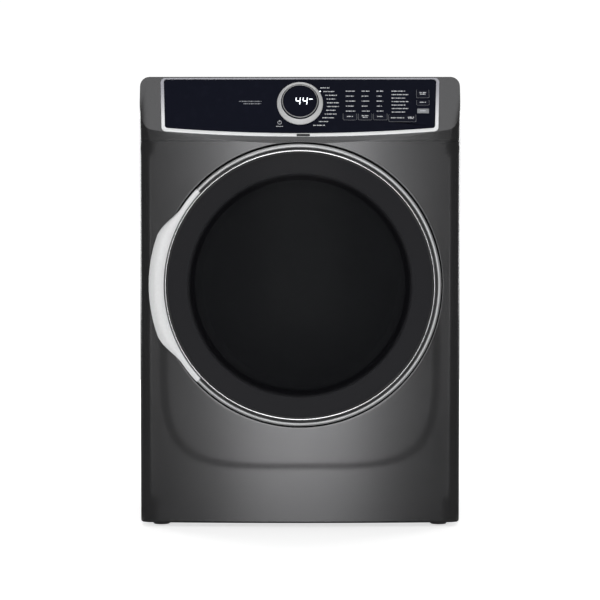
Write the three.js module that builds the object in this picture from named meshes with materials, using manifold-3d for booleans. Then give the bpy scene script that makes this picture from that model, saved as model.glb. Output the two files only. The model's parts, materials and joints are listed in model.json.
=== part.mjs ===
// A front-loading clothes dryer, in millimetres: X across, -Y the front, +Z up.
// The origin is under the middle of the machine, on the floor.
import * as THREE from 'three';
import { mergeVertices } from 'three/addons/utils/BufferGeometryUtils.js';
import Module from 'manifold-3d';

const wasm = await Module();
wasm.setup();

// Cabinet
const cabinetWidth = 686;
const cabinetHeight = 965;
const cabinetDepth = 738.5;
const doorProud = 36;
const exhaustProud = 38.5;
const sheet = 0.9;
const gap = 0.3;
const floorClearance = 9;
const bowDepth = 12;
const cornerRadius = 24;
const frontWrap = 4;
const topRadius = 20;
const lidDrop = 25;
const flangeWidth = 18;
const flangeLift = 28;
const basePanLift = 12;
const basePanRim = 12;

// Console, measured up its leaning face from the face's origin
const faceLean = THREE.MathUtils.degToRad(22);
const faceFootDrop = 143;
const faceOriginDrop = 66;
const seamDrop = 138;
const consoleWall = 2.5;
const lidFrontInset = 65.5;
const shoulderDrop = 50;
const trimTopHalfWidth = 299;
const trimBottomHalfWidth = 295;
const trimTop = 68;
const trimBottomEnds = -56;
const trimBow = 12;
const trimCorner = 10;
const trimSide = 7;
const trimUpper = 3;
const trimLower = 7.5;
const trimProud = 1.5;
const trimDepth = 5;
const fasciaThickness = 3;
const fasciaInset = 0.3;
const boardInset = 8;
const boardThickness = 1.6;
const boardMargin = 10;

// Dial and display
const dialRadius = 49;
const windowTop = trimTop - trimUpper;
const windowBottom = trimBottomEnds - trimBow + trimLower;
const windowMiddle = (windowTop + windowBottom) / 2;
const dialSpareShare = 23 / 55;
const dialRise = windowMiddle + dialSpareShare * (windowTop - windowMiddle - dialRadius);
const dialTopRadius = 38.5;
const dialHeight = 16;
const dialWall = 2.2;
const dialFit = 0.5;
const dialHubDepth = 6;
const lensThickness = 3;
const lensSink = 1;
const displayStemRadius = 30;

// Keys: left edge, right edge, lower edge and upper edge on the face
const keyTravel = 0.8;
const keyFit = 0.4;
const keyProud = 0.6;
const keyFlange = 1.2;
const keySizes = {
  key_power: [-dialRadius - 1, 12 - dialRadius, 8 - dialRadius, 20 - dialRadius],
  key_temperature: [93, 120, -28.4, -14.4],
  key_dryness: [125.5, 152.5, -28.4, -14.4],
  key_time: [158, 185, -28.4, -14.4],
  key_options: [190.5, 246.5, -32.4, -16.8],
  key_extra: [250.6, 275.2, 23, 41],
  key_cancel: [250.6, 275.2, 6, 17.3],
  key_start: [250.6, 275.2, -13.5, -3.1],
};

// Door, measured from the front panel's surface at its middle
const doorHeight = 520;
const doorRadius = 300.5;
const doorFit = 3.5;
const pocketDepth = 20;
const openingRadius = doorRadius - 82.5;
const glassRadius = doorRadius - 17;
const glassThickness = 4;
const glassEdge = -17;
const rimFace = -18.5;
const grooveFace = -14.5;
const ringFace = -17;
const ringBack = -12.5;
const ringLipEnd = 10;
const ringWall = 1.7;
const frameInnerRadius = openingRadius + 7;
const frameOuterRadius = doorRadius - 3.5;
const frameWall = 2.5;
const frameBack = 13.7;
const linerThickness = 2;
const linerInnerRadius = openingRadius - 9;
const bowlRear = 25;
const bowlThickness = 4;
const sealInnerRadius = openingRadius + 4;
const sealOuterRadius = openingRadius + 20;
const handleReach = 20.5;
const handleFace = -22;
const handleBack = -9;
const handleInnerRadius = doorRadius - 11;
const handleGripAngle = 19;
const handleNeckAngle = 33.5;
const handleEndAngle = 43;

// Door hinge and catch
const pivotInset = 9.5;
const pivotFace = -5;
const knuckleRadius = 5.2;
const pinRadius = 2.6;
const movingKnuckleHalf = 26;
const fixedKnuckleHalf = 40;
const hingeArm = 18;
const hingeArmThickness = 4;
const hingePlateWidth = 19;
const hingePlateHalf = 44;
const leafLength = 41;
const leafThickness = 2;
const notchHalf = 50;
const notchWidth = 45.5;
const strikeInset = 33.5;
const strikeWidth = 10;
const strikeHeight = 16;
const strikeReach = 14;
const strikeFit = 4;
const catchWall = 9;
const catchDepth = 30;

// Drum and bulkheads
const drumRadius = 305;
const drumFront = 72.5;
const drumLength = 586;
const drumLip = 8;
const feltThickness = 6;
const feltWidth = 18;
const collarRadius = openingRadius - 8;
const collarWall = 2;
const bulkheadSide = 338;
const bulkheadLow = 205;
const bulkheadHigh = 812;
const baffleHeight = 60;
const baffleBase = 84;
const baffleTop = 26;
const baffleMargin = 28;
const baffleCount = 3;
const inletHoleRadius = 18;
const inletCircle = 110;
const inletHoles = 8;
const lampRadius = 22;
const lampRise = 255;
const lampDepth = 16;

// Drive
const driveX = -60;
const driveZ = 115;
const motorRadius = 62;
const motorFront = 145.5;
const motorLength = 165;
const motorWall = 14;
const shaftRadius = 8;
const shaftFit = 0.6;
const pulleyRadius = 11;
const pulleyFlange = 3;
const beltInset = 356.5;
const beltWidth = 8;
const beltThickness = 3.5;
const beltFit = 0.5;
const idlerRadius = 20;
const idlerAlong = 0.6;
const idlerWidth = 16;
const idlerPivotX = -6;
const idlerPivotZ = 104;
const idlerArmThickness = 4;
const idlerArmHalf = 11;
const idlerPinRadius = 5;
const mountWidth = 100;
const mountLength = 120;
const mountPlate = 3;
const rollerRadius = 38;
const rollerWidth = 24;
const rollerAngle = 35;
const rollerInset = 10;
const axleRadius = 8;

// Air path
const ductHalfWidth = 130;
const ductDepth = 37.5;
const ductBottom = 60;
const ductWall = 2;
const filterHalfWidth = 120;
const filterThickness = 13;
const filterBottom = 120;
const filterFit = 1;
const filterFrame = 9;
const filterSetBack = 39.5;
const blowerRadius = 88;
const blowerDepth = 60;
const blowerInlet = 45;
const blowerWall = 2.5;
const wheelRadius = 72;
const wheelBlades = 10;
const pipeRadius = 51;
const pipeWall = 1.2;
const pipeX = -190;
const pipeZ = 77.5;
const heaterHalfWidth = 150;
const heaterLow = 380;
const heaterHigh = 720;
const heaterDepth = 50;

// Feet and terminal box
const footX = 300;
const footInset = 60.5;
const footRadius = 17.5;
const footPad = 8.7;
const footStem = 5;
const footStemTop = 50;
const socketRadius = 10;
const socketTop = 45;
const terminalX = 220;
const terminalZ = 185;
const terminalHalfWidth = 40;
const terminalHalfHeight = 35;
const terminalCoverDepth = 8;
const terminalBlockDepth = 18;

// Fineness
const fineSides = 48;
const mediumSides = 32;
const smallSides = 20;
const tinySides = 12;
const bowSteps = 16;
const cornerSteps = 6;
const reach = 6;

// Places worked out from the sizes
const overallDepth = doorProud + cabinetDepth + exhaustProud;
const frontY = doorProud - overallDepth / 2;
const rearY = frontY + cabinetDepth;
const sideX = cabinetWidth / 2;
const wrapEndY = frontY + bowDepth + cornerRadius + frontWrap;
const lidFrontY = frontY + lidFrontInset;
const lidBottomZ = cabinetHeight - lidDrop;
const seamZ = cabinetHeight - seamDrop;
const shoulderZ = cabinetHeight - shoulderDrop;
const faceOriginZ = cabinetHeight - faceOriginDrop;
const faceOriginY = frontY + (faceFootDrop - faceOriginDrop) * Math.tan(faceLean);
const pocketRadius = doorRadius + doorFit;
const pocketFloorY = frontY + pocketDepth;
const pocketBackY = pocketFloorY + sheet;
const pivotX = doorRadius - pivotInset;
const drumFrontY = frontY + drumFront;
const drumRearY = drumFrontY + drumLength;
const frontBulkheadY = drumFrontY - gap * 2 - feltThickness;
const rearBulkheadY = drumRearY + gap * 2 + feltThickness;
const beltY = frontY + beltInset;
const motorFrontY = frontY + motorFront;
const ductBackY = frontBulkheadY - sheet - gap * 5;
const blowerFrontY = ductBackY + gap;
const blowerBackY = blowerFrontY + blowerDepth;
const facePlacement = new THREE.Matrix4()
  .makeRotationX(-faceLean)
  .setPosition(0, faceOriginY, faceOriginZ);
const noPlacement = new THREE.Matrix4();

// Solids from three.js geometry
function solidOf(geometry) {
  geometry.deleteAttribute('normal');
  geometry.deleteAttribute('uv');
  const merged = mergeVertices(geometry);
  const places = merged.attributes.position;
  const corner = (i) => new THREE.Vector3().fromBufferAttribute(places, i);
  const kept = [];
  let volume = 0;
  for (let i = 0; i < merged.index.count; i += 3) {
    const [a, b, c] = merged.index.array.slice(i, i + 3);
    if (a !== b && b !== c && c !== a) {
      kept.push([a, b, c]);
      volume += corner(a).dot(corner(b).cross(corner(c)));
    }
  }
  const facingOut = volume > 0 ? kept : kept.map(([a, b, c]) => [a, c, b]);
  const vertProperties = Float32Array.from(places.array);
  const triVerts = Uint32Array.from(facingOut.flat());
  return new wasm.Manifold(new wasm.Mesh({ numProp: 3, vertProperties, triVerts }));
}

function extruded(points, from, to, basis, placement) {
  const shape = new THREE.Shape(points.map(([a, b]) => new THREE.Vector2(a, b)));
  const geometry = new THREE.ExtrudeGeometry(shape, { depth: to - from, bevelEnabled: false });
  geometry.translate(0, 0, from);
  geometry.applyMatrix4(basis);
  geometry.applyMatrix4(placement);
  return solidOf(geometry);
}

const axisX = new THREE.Vector3(1, 0, 0);
const axisY = new THREE.Vector3(0, 1, 0);
const axisZ = new THREE.Vector3(0, 0, 1);
const basisX = new THREE.Matrix4().makeBasis(axisY, axisZ, axisX);
const basisY = new THREE.Matrix4().makeBasis(axisX, axisZ, axisY);

// Points are (y, z) for alongX, (x, z) for alongY and (x, y) for alongZ.
const alongX = (points, from, to) => extruded(points, from, to, basisX, noPlacement);
const alongY = (points, from, to, placement = noPlacement) => (
  extruded(points, from, to, basisY, placement)
);
const alongZ = (points, from, to) => extruded(points, from, to, noPlacement, noPlacement);

function block(x0, x1, y0, y1, z0, z1) {
  return alongZ([[x0, y0], [x1, y0], [x1, y1], [x0, y1]], z0, z1);
}

function arc(x, y, radius, startDegrees, endDegrees, steps) {
  return Array.from({ length: steps + 1 }, (_, i) => {
    const angle = THREE.MathUtils.degToRad(startDegrees + ((endDegrees - startDegrees) * i) / steps);
    return [x + radius * Math.cos(angle), y + radius * Math.sin(angle)];
  });
}

const circle = (x, y, radius, sides) => arc(x, y, radius, 0, 360, sides).slice(1);

function rodY(x, z, radius, from, to, sides = smallSides) {
  return alongY(circle(x, z, radius, sides), from, to);
}

function tubeY(x, z, outer, inner, from, to, sides = smallSides) {
  return rodY(x, z, outer, from, to, sides).subtract(rodY(x, z, inner, from - reach, to + reach, sides));
}

// Profile points are (radius, y) about the Y axis.
function turned(profile, sides, x = 0, y = 0, z = 0) {
  const points = profile.map(([radius, along]) => new THREE.Vector2(radius, along));
  const onAxis = profile[0][0] === 0 && profile[profile.length - 1][0] === 0;
  if (!onAxis) points.push(points[0].clone());
  const geometry = new THREE.LatheGeometry(points, sides);
  geometry.translate(x, y, z);
  return solidOf(geometry);
}

const joined = (solids) => solids.reduce((whole, solid) => whole.add(solid));
const cutBy = (solid, cutters) => cutters.reduce((left, cutter) => left.subtract(cutter), solid);

function finish(colour, roughness, metalness) {
  return new THREE.MeshStandardMaterial({ color: colour, roughness, metalness });
}

function piece(name, solid, material) {
  const found = solid.getMesh();
  const geometry = new THREE.BufferGeometry();
  geometry.setAttribute('position', new THREE.BufferAttribute(found.vertProperties, 3));
  geometry.setIndex(new THREE.BufferAttribute(found.triVerts, 1));
  const mesh = new THREE.Mesh(geometry, material);
  mesh.name = name;
  return mesh;
}

const paint = finish(0x54565c, 0.35, 0.6);
const darkPaint = finish(0x2c2d31, 0.5, 0.4);
const galvanised = finish(0x9aa0a4, 0.45, 0.9);
const stainless = finish(0xb9bcc0, 0.3, 1);
const chrome = finish(0xdedfe2, 0.08, 1);
const satin = finish(0xc4c6ca, 0.28, 0.9);
const glossBlack = finish(0x0c0e18, 0.06, 0);
const glass = finish(0x15161a, 0.04, 0);
const mouldedBlack = finish(0x1b1c1f, 0.5, 0);
const mouldedGrey = finish(0x6c6f75, 0.45, 0);
const mouldedWhite = finish(0xd8dade, 0.4, 0);
const rubber = finish(0x2a2a2c, 0.85, 0);
const felt = finish(0x8d887c, 0.98, 0);
const boardGreen = finish(0x1d5a38, 0.5, 0);
const motorBlack = finish(0x303236, 0.5, 0.6);

// Outlines
function bowedEdge(inset) {
  const half = sideX - cornerRadius;
  const turnY = frontY + bowDepth + cornerRadius;
  const bow = Array.from({ length: bowSteps + 1 }, (_, i) => {
    const x = -half + (2 * half * i) / bowSteps;
    return [x, frontY + inset + bowDepth * (x / half) ** 2];
  });
  const left = arc(-half, turnY, cornerRadius - inset, 180, 270, cornerSteps).slice(0, -1);
  const right = arc(half, turnY, cornerRadius - inset, 270, 360, cornerSteps).slice(1);
  return [...left, ...bow, ...right];
}

function roundedTop(inset, bottom) {
  const half = sideX - inset;
  const top = cabinetHeight - inset;
  const radius = topRadius - inset;
  return [
    [-half, bottom],
    [half, bottom],
    ...arc(half - radius, top - radius, radius, 0, 90, cornerSteps),
    ...arc(radius - half, top - radius, radius, 90, 180, cornerSteps),
  ];
}

function trimOutline(side, upper, lower) {
  const topHalf = trimTopHalfWidth - side;
  const bottomHalf = trimBottomHalfWidth - side;
  const top = trimTop - upper;
  const ends = trimBottomEnds + lower;
  const radius = trimCorner - side / 2;
  const bowHalf = bottomHalf - radius;
  const bow = Array.from({ length: bowSteps - 1 }, (_, i) => {
    const x = -bowHalf + (2 * bowHalf * (i + 1)) / bowSteps;
    return [x, ends - trimBow * (1 - (x / bowHalf) ** 2)];
  });
  return [
    ...arc(bowHalf, ends + radius, radius, 270, 360, cornerSteps),
    ...arc(topHalf - radius, top - radius, radius, 0, 90, cornerSteps),
    ...arc(radius - topHalf, top - radius, radius, 90, 180, cornerSteps),
    ...arc(-bowHalf, ends + radius, radius, 180, 270, cornerSteps),
    ...bow,
  ];
}

// The space behind the front surface: a bowed wall below, and a leaning face above
function frontBody(inset, back, bottom, top) {
  const plan = [...bowedEdge(inset), [sideX - inset, back], [inset - sideX, back]];
  const wall = alongZ(plan, bottom, top);
  const wide = cabinetWidth;
  const behindFace = alongY(
    [[-wide, -cabinetHeight * 2], [wide, -cabinetHeight * 2], [wide, wide], [-wide, wide]],
    inset,
    cabinetHeight * 2,
    facePlacement,
  );
  return wall.intersect(behindFace);
}

// Cabinet
function frontPanel() {
  const outer = frontBody(0, wrapEndY, floorClearance, seamZ);
  const inner = frontBody(sheet, wrapEndY + reach, floorClearance - reach, seamZ + reach);
  const behind = frontBody(0, 0, floorClearance, cabinetHeight);
  const cup = rodY(0, doorHeight, pocketRadius + sheet, frontY - reach, pocketBackY, fineSides);
  const recess = rodY(0, doorHeight, pocketRadius, frontY - reach, pocketFloorY, fineSides);
  const opening = rodY(0, doorHeight, openingRadius, frontY, pocketBackY + reach, fineSides);
  const strikeX = strikeInset - doorRadius;
  const strikeHole = block(
    strikeX - strikeWidth / 2 - strikeFit,
    strikeX + strikeWidth / 2 + strikeFit,
    frontY,
    pocketBackY + reach,
    doorHeight - strikeHeight / 2 - strikeFit,
    doorHeight + strikeHeight / 2 + strikeFit,
  );
  const skin = outer.subtract(inner).add(cup.intersect(behind));
  return cutBy(skin, [recess, opening, strikeHole]);
}

function sidePanel(side) {
  const front = wrapEndY + gap;
  const back = rearY - sheet - gap;
  const top = lidBottomZ - gap;
  const inward = (x) => side * (sideX - x);
  const wide = (x0, x1, y0, y1, z0) => (
    block(Math.min(inward(x0), inward(x1)), Math.max(inward(x0), inward(x1)), y0, y1, z0, top)
  );
  const flangeBottom = basePanLift + flangeLift;
  const shoulder = block(-sideX - 1, sideX + 1, front - reach, lidFrontY + gap, shoulderZ - gap, top + reach);
  return joined([
    wide(0, sheet, front, back, basePanLift),
    wide(0, flangeWidth, front, front + sheet, flangeBottom),
    wide(0, flangeWidth, back - sheet, back, flangeBottom),
  ]).subtract(shoulder);
}

function topPanel() {
  const outer = alongY(roundedTop(0, lidBottomZ), lidFrontY + gap, rearY);
  const inner = alongY(roundedTop(sheet, lidBottomZ - reach), lidFrontY - reach, rearY - sheet);
  return outer.subtract(inner);
}

function rearPanel() {
  const plate = block(-sideX, sideX, rearY - sheet, rearY, basePanLift, lidBottomZ - gap);
  const pipeHole = rodY(pipeX, pipeZ, pipeRadius + 1, 0, rearY + reach, mediumSides);
  const terminalHole = block(
    terminalX - terminalHalfWidth + reach,
    terminalX + terminalHalfWidth - reach,
    0,
    rearY + reach,
    terminalZ - terminalHalfHeight + reach,
    terminalZ + terminalHalfHeight - reach,
  );
  return cutBy(plate, [pipeHole, terminalHole]);
}

const footPlaces = {
  foot_front_left: [-footX, frontY + footInset],
  foot_front_right: [footX, frontY + footInset],
  foot_rear_left: [-footX, rearY - footInset],
  foot_rear_right: [footX, rearY - footInset],
};

function basePan() {
  const half = sideX - sheet - gap;
  const front = wrapEndY - frontWrap;
  const back = rearY - sheet - gap;
  const top = basePanLift + basePanRim;
  const floor = basePanLift + sheet;
  const tray = block(-half, half, front, back, basePanLift, top)
    .subtract(block(sheet - half, half - sheet, front + sheet, back - sheet, floor, top + reach));
  const sockets = Object.values(footPlaces).map(([x, y]) => (
    alongZ(circle(x, y, socketRadius, smallSides), basePanLift, socketTop)
  ));
  const bores = Object.values(footPlaces).map(([x, y]) => (
    alongZ(circle(x, y, footStem + gap, tinySides), 0, socketTop + reach)
  ));
  return cutBy(joined([tray, ...sockets]), bores);
}

function levellingFoot([x, y]) {
  const pad = alongZ(circle(x, y, footRadius, smallSides), 0, footPad);
  return pad.add(alongZ(circle(x, y, footStem, tinySides), footPad - 1, footStemTop));
}

// Console
function consoleShell() {
  const back = lidFrontY;
  const outline = (inset) => roundedTop(inset, seamZ - cabinetDepth);
  const outer = frontBody(0, back, seamZ + gap, cabinetHeight)
    .intersect(alongY(outline(0), frontY - reach, back + reach));
  const inner = frontBody(consoleWall, back + reach, seamZ - reach, cabinetHeight)
    .intersect(alongY(outline(consoleWall), frontY - reach, back + reach * 2));
  const window = alongY(trimOutline(-gap, -gap, -gap), -reach, reach * 2, facePlacement);
  const behindWrap = block(-sideX - 1, sideX + 1, wrapEndY, back + reach, seamZ - reach, shoulderZ);
  return cutBy(outer, [inner, window, behindWrap]);
}

function consoleTrim() {
  const outer = alongY(trimOutline(0, 0, 0), -trimProud, trimDepth);
  const inner = alongY(trimOutline(trimSide, trimUpper, trimLower), -reach, trimDepth + reach);
  return outer.subtract(inner);
}

function keyPlan([left, right, low, high], grow) {
  return [
    [left - grow, low - grow],
    [right + grow, low - grow],
    [right + grow, high + grow],
    [left - grow, high + grow],
  ];
}

function fascia() {
  const back = fasciaInset + fasciaThickness;
  const plate = alongY(
    trimOutline(trimSide + gap, trimUpper + gap, trimLower + gap),
    fasciaInset,
    back,
  );
  const dialHole = rodY(0, dialRise, dialTopRadius + dialFit, -reach, back + reach, mediumSides);
  const keyHoles = Object.values(keySizes).map((size) => (
    alongY(keyPlan(size, keyFit), -reach, back + reach)
  ));
  return cutBy(plate, [dialHole, ...keyHoles]);
}

function key(size) {
  const back = fasciaInset + fasciaThickness + gap;
  const cap = alongY(keyPlan(size, 0), -keyProud, back + keyFlange);
  return cap.add(alongY(keyPlan(size, keyFlange), back, back + keyFlange));
}

function dial() {
  return turned([
    [dialRadius, -dialFit],
    [dialRadius - 1, -3],
    [dialTopRadius + 2, 1 - dialHeight],
    [dialTopRadius, -dialHeight],
    [dialTopRadius - dialWall, -dialHeight],
    [dialTopRadius - dialWall, dialHubDepth],
    [dialTopRadius, dialHubDepth],
    [dialTopRadius, -dialFit],
  ], mediumSides, 0, 0, dialRise);
}

function displayLens() {
  const radius = dialTopRadius - dialWall - dialFit;
  const front = lensSink - dialHeight;
  return turned([
    [0, front],
    [radius, front],
    [radius, front + lensThickness],
    [displayStemRadius, front + lensThickness],
    [displayStemRadius, boardInset - gap],
    [0, boardInset - gap],
  ], mediumSides, 0, 0, dialRise);
}

function controlBoard() {
  const lefts = Object.values(keySizes).map((size) => size[0]);
  const rights = Object.values(keySizes).map((size) => size[1]);
  const left = Math.min(...lefts) - boardMargin;
  const right = Math.max(...rights) + boardMargin;
  const halfHeight = trimTop - boardMargin * 2;
  return block(left, right, boardInset, boardInset + boardThickness, -halfHeight, halfHeight);
}

// Door: profiles are (radius, y from the front surface)
const doorTurned = (profile, sides = fineSides) => turned(profile, sides, 0, frontY, doorHeight);

function hingeNotch(fromX, face) {
  return block(
    fromX,
    doorRadius + reach,
    frontY + face,
    frontY + pocketDepth + reach,
    doorHeight - notchHalf,
    doorHeight + notchHalf,
  );
}

function doorRing() {
  const inner = glassRadius + gap;
  const rim = inner + 4;
  const ring = doorTurned([
    [inner, rimFace + 1],
    [inner + 1.5, rimFace],
    [rim, rimFace],
    [rim + 1.5, grooveFace],
    [doorRadius - 7, grooveFace],
    [doorRadius - 5.5, ringFace],
    [doorRadius - 2, ringFace],
    [doorRadius, ringFace + 3],
    [doorRadius, ringLipEnd],
    [doorRadius - ringWall, ringLipEnd],
    [doorRadius - ringWall, ringBack],
    [inner, ringBack],
  ]);
  return ring.subtract(hingeNotch(pivotX - notchWidth, ringBack + ringWall));
}

function outerGlass() {
  const steps = 5;
  const apex = -doorProud;
  const face = Array.from({ length: steps + 1 }, (_, i) => {
    const radius = (glassRadius * i) / steps;
    return [radius, apex + (glassEdge - apex) * (radius / glassRadius) ** 2];
  });
  const back = face.map(([radius, y]) => [radius, y + glassThickness]).reverse();
  return doorTurned([...face, ...back]);
}

function doorFrame() {
  const face = ringBack + gap;
  const frame = doorTurned([
    [frameInnerRadius, face],
    [frameOuterRadius, face],
    [frameOuterRadius, frameBack],
    [frameOuterRadius - frameWall, frameBack],
    [frameOuterRadius - frameWall, face + frameWall],
    [frameInnerRadius + frameWall, face + frameWall],
    [frameInnerRadius + frameWall, frameBack],
    [frameInnerRadius, frameBack],
  ]);
  const clearOfKnuckles = pivotX - knuckleRadius - 2;
  return cutBy(frame, [
    hingeNotch(pivotX - notchWidth + frameWall, face + frameWall),
    hingeNotch(clearOfKnuckles, face - reach),
  ]);
}

function doorLiner() {
  const face = frameBack + gap;
  const liner = doorTurned([
    [linerInnerRadius, face],
    [frameOuterRadius, face],
    [frameOuterRadius, face + linerThickness],
    [linerInnerRadius, face + linerThickness],
  ]);
  return liner.subtract(hingeNotch(pivotX - notchWidth + frameWall, 0));
}

function windowBowl() {
  const flangeRadius = frameInnerRadius - 2 * gap;
  const neck = linerInnerRadius - 2;
  return doorTurned([
    [0, bowlRear],
    [neck - 36, bowlRear],
    [neck - 16, bowlRear - 3],
    [neck, frameBack + gap],
    [neck, frameBack],
    [flangeRadius, frameBack],
    [flangeRadius, frameBack - bowlThickness],
    [neck - 4, frameBack - bowlThickness],
    [neck - 19, bowlRear - 3 - bowlThickness],
    [neck - 37, bowlRear - bowlThickness],
    [0, bowlRear - bowlThickness],
  ]);
}

function doorSeal() {
  const face = frameBack + gap * 2 + linerThickness;
  const back = pocketDepth - gap;
  return doorTurned([
    [sealInnerRadius, face],
    [sealOuterRadius, face],
    [sealOuterRadius, back],
    [sealInnerRadius, back],
  ]);
}

function handleOutline(innerRadius) {
  const steps = 48;
  const half = handleEndAngle;
  const polar = (radius, degrees) => {
    const angle = THREE.MathUtils.degToRad(degrees);
    return [radius * Math.cos(angle), doorHeight + radius * Math.sin(angle)];
  };
  const outer = Array.from({ length: steps + 1 }, (_, i) => {
    const turn = -half + (2 * half * i) / steps;
    const fade = THREE.MathUtils.smoothstep(Math.abs(turn), handleGripAngle, handleNeckAngle);
    return polar(doorRadius + handleReach * (1 - fade) + gap, 180 + turn);
  });
  const inner = Array.from({ length: steps + 1 }, (_, i) => (
    polar(innerRadius, 180 + half - (2 * half * i) / steps)
  ));
  return [...outer, ...inner];
}

function doorHandle() {
  const face = alongY(
    handleOutline(handleInnerRadius),
    frontY + handleFace,
    frontY + ringFace - gap * 2,
  );
  const grip = alongY(handleOutline(handleInnerRadius), frontY + handleFace, frontY + handleBack)
    .subtract(rodY(0, doorHeight, doorRadius + 1, 2 * frontY, 0, fineSides));
  const largest = grip.decompose().sort((a, b) => b.volume() - a.volume())[0];
  return face.add(largest);
}

const strikeCentre = strikeInset - doorRadius;

function doorStrike() {
  const face = frontY + frameBack + gap * 2 + linerThickness;
  const half = strikeWidth / 2;
  const tall = strikeHeight / 2;
  const tongue = block(
    strikeCentre - half,
    strikeCentre + half,
    face,
    frontY + pocketDepth + strikeReach,
    doorHeight - tall,
    doorHeight + tall,
  );
  const eye = block(
    strikeCentre - half - reach,
    strikeCentre + half + reach,
    frontY + pocketDepth + strikeReach / 3,
    frontY + pocketDepth + strikeReach * 0.7,
    doorHeight - tall / 2,
    doorHeight + tall / 2,
  );
  return tongue.subtract(eye);
}

function doorCatch() {
  const half = strikeWidth / 2 + strikeFit;
  const tall = strikeHeight / 2 + strikeFit;
  const front = pocketBackY + gap;
  const body = block(
    strikeCentre - half - catchWall,
    strikeCentre + half + catchWall,
    front,
    front + catchDepth,
    doorHeight - tall - catchWall * 2,
    doorHeight + tall + catchWall * 2,
  );
  const slot = block(
    strikeCentre - half,
    strikeCentre + half,
    front - reach,
    front + catchDepth - catchWall,
    doorHeight - tall,
    doorHeight + tall,
  );
  return body.subtract(slot);
}

function knuckle(radius, low, high) {
  const plan = circle(pivotX, frontY + pivotFace, radius, tinySides);
  return alongZ(plan, doorHeight + low, doorHeight + high);
}

function hingeLeaf() {
  const face = frontY + ringBack + gap * 2 + frameWall;
  const half = movingKnuckleHalf;
  const plate = block(
    pivotX - leafLength,
    pivotX,
    face,
    face + leafThickness,
    doorHeight - half,
    doorHeight + half,
  );
  const barrel = knuckle(knuckleRadius, -half, half);
  return plate.add(barrel).subtract(knuckle(pinRadius + gap, -half - reach, half + reach));
}

function hingeBracket() {
  const y = frontY + pivotFace;
  const half = hingeArmThickness / 2;
  const outerX = pivotX - hingeArm;
  const back = pocketFloorY - gap;
  const sides = [-1, 1].map((side) => {
    const near = side * (movingKnuckleHalf + gap * 2);
    const far = side * fixedKnuckleHalf;
    const low = Math.min(near, far);
    const high = Math.max(near, far);
    const bottom = doorHeight + low;
    const top = doorHeight + high;
    return joined([
      knuckle(knuckleRadius, low, high),
      block(outerX, pivotX, y - half, y + half, bottom, top),
      block(outerX, outerX + hingeArmThickness, y - half, back, bottom, top),
    ]);
  });
  const plate = block(
    outerX + hingeArmThickness - hingePlateWidth,
    outerX + hingeArmThickness,
    back - leafThickness,
    back,
    doorHeight - hingePlateHalf,
    doorHeight + hingePlateHalf,
  );
  const pin = knuckle(pinRadius, -fixedKnuckleHalf, fixedKnuckleHalf);
  return joined([...sides, plate, pin]);
}

// Drum and bulkheads
const drumTurned = (profile, sides = fineSides) => turned(profile, sides, 0, 0, doorHeight);

function drum() {
  const inner = drumRadius - sheet;
  return drumTurned([
    [drumRadius - drumLip, drumFrontY],
    [drumRadius, drumFrontY],
    [drumRadius, drumRearY],
    [drumRadius - drumLip, drumRearY],
    [drumRadius - drumLip, drumRearY - sheet],
    [inner, drumRearY - sheet],
    [inner, drumFrontY + sheet],
    [drumRadius - drumLip, drumFrontY + sheet],
  ]);
}

function baffle(index) {
  const seatRadius = drumRadius - sheet - gap;
  const topRadius = drumRadius - sheet - baffleHeight;
  const section = [
    [-baffleBase / 2, -drumRadius],
    [baffleBase / 2, -drumRadius],
    [baffleBase / 2, 12 - drumRadius + sheet],
    [baffleTop / 2, -topRadius],
    [-baffleTop / 2, -topRadius],
    [-baffleBase / 2, 12 - drumRadius + sheet],
  ];
  const turn = (2 * Math.PI * (index + 0.5)) / baffleCount;
  const placement = new THREE.Matrix4().makeRotationY(turn).setPosition(0, 0, doorHeight);
  const bar = alongY(section, drumFrontY + baffleMargin, drumRearY - baffleMargin, placement);
  const bore = rodY(0, doorHeight, seatRadius, drumFrontY, drumRearY, fineSides);
  return bar.intersect(bore);
}

function feltRing(from) {
  const outer = drumRadius - drumLip / 4;
  return drumTurned([
    [outer - feltWidth, from],
    [outer, from],
    [outer, from + feltThickness],
    [outer - feltWidth, from + feltThickness],
  ], mediumSides);
}

function filterSlot() {
  const front = pocketBackY + filterSetBack - filterThickness - filterFit * 8;
  const half = filterHalfWidth + filterFit;
  return block(
    -half,
    half,
    front - filterFit,
    front + filterThickness + filterFit,
    doorHeight - collarRadius * 2,
    doorHeight,
  );
}

function frontBulkhead() {
  const back = frontBulkheadY;
  const plate = block(-bulkheadSide, bulkheadSide, back - sheet, back, bulkheadLow, bulkheadHigh);
  const outer = collarRadius + collarWall;
  const collar = rodY(0, doorHeight, outer, pocketBackY + gap, back, fineSides);
  const bore = rodY(0, doorHeight, collarRadius, frontY, 0, fineSides);
  return cutBy(plate.add(collar), [bore, filterSlot()]);
}

const rollerPlaces = [-1, 1].map((side) => {
  const angle = THREE.MathUtils.degToRad(rollerAngle);
  const distance = drumRadius + rollerRadius + gap;
  return [side * distance * Math.sin(angle), doorHeight - distance * Math.cos(angle)];
});

function rearBulkhead() {
  const front = rearBulkheadY;
  const top = doorHeight + drumRadius + drumLip;
  const plate = block(-bulkheadSide, bulkheadSide, front, front + sheet, bulkheadLow, top);
  const studs = rollerPlaces.map(([x, z]) => (
    rodY(x, z, axleRadius, drumRearY - rollerInset - rollerWidth - reach, front + sheet, tinySides)
  ));
  const holes = Array.from({ length: inletHoles }, (_, i) => {
    const turn = (2 * Math.PI * i) / inletHoles;
    const x = inletCircle * Math.cos(turn);
    const z = doorHeight + inletCircle * Math.sin(turn);
    return rodY(x, z, inletHoleRadius, 0, rearY, tinySides);
  });
  return cutBy(joined([plate, ...studs]), holes);
}

function roller([x, z]) {
  const back = drumRearY - rollerInset;
  return tubeY(x, z, rollerRadius, axleRadius + gap, back - rollerWidth, back);
}

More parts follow.
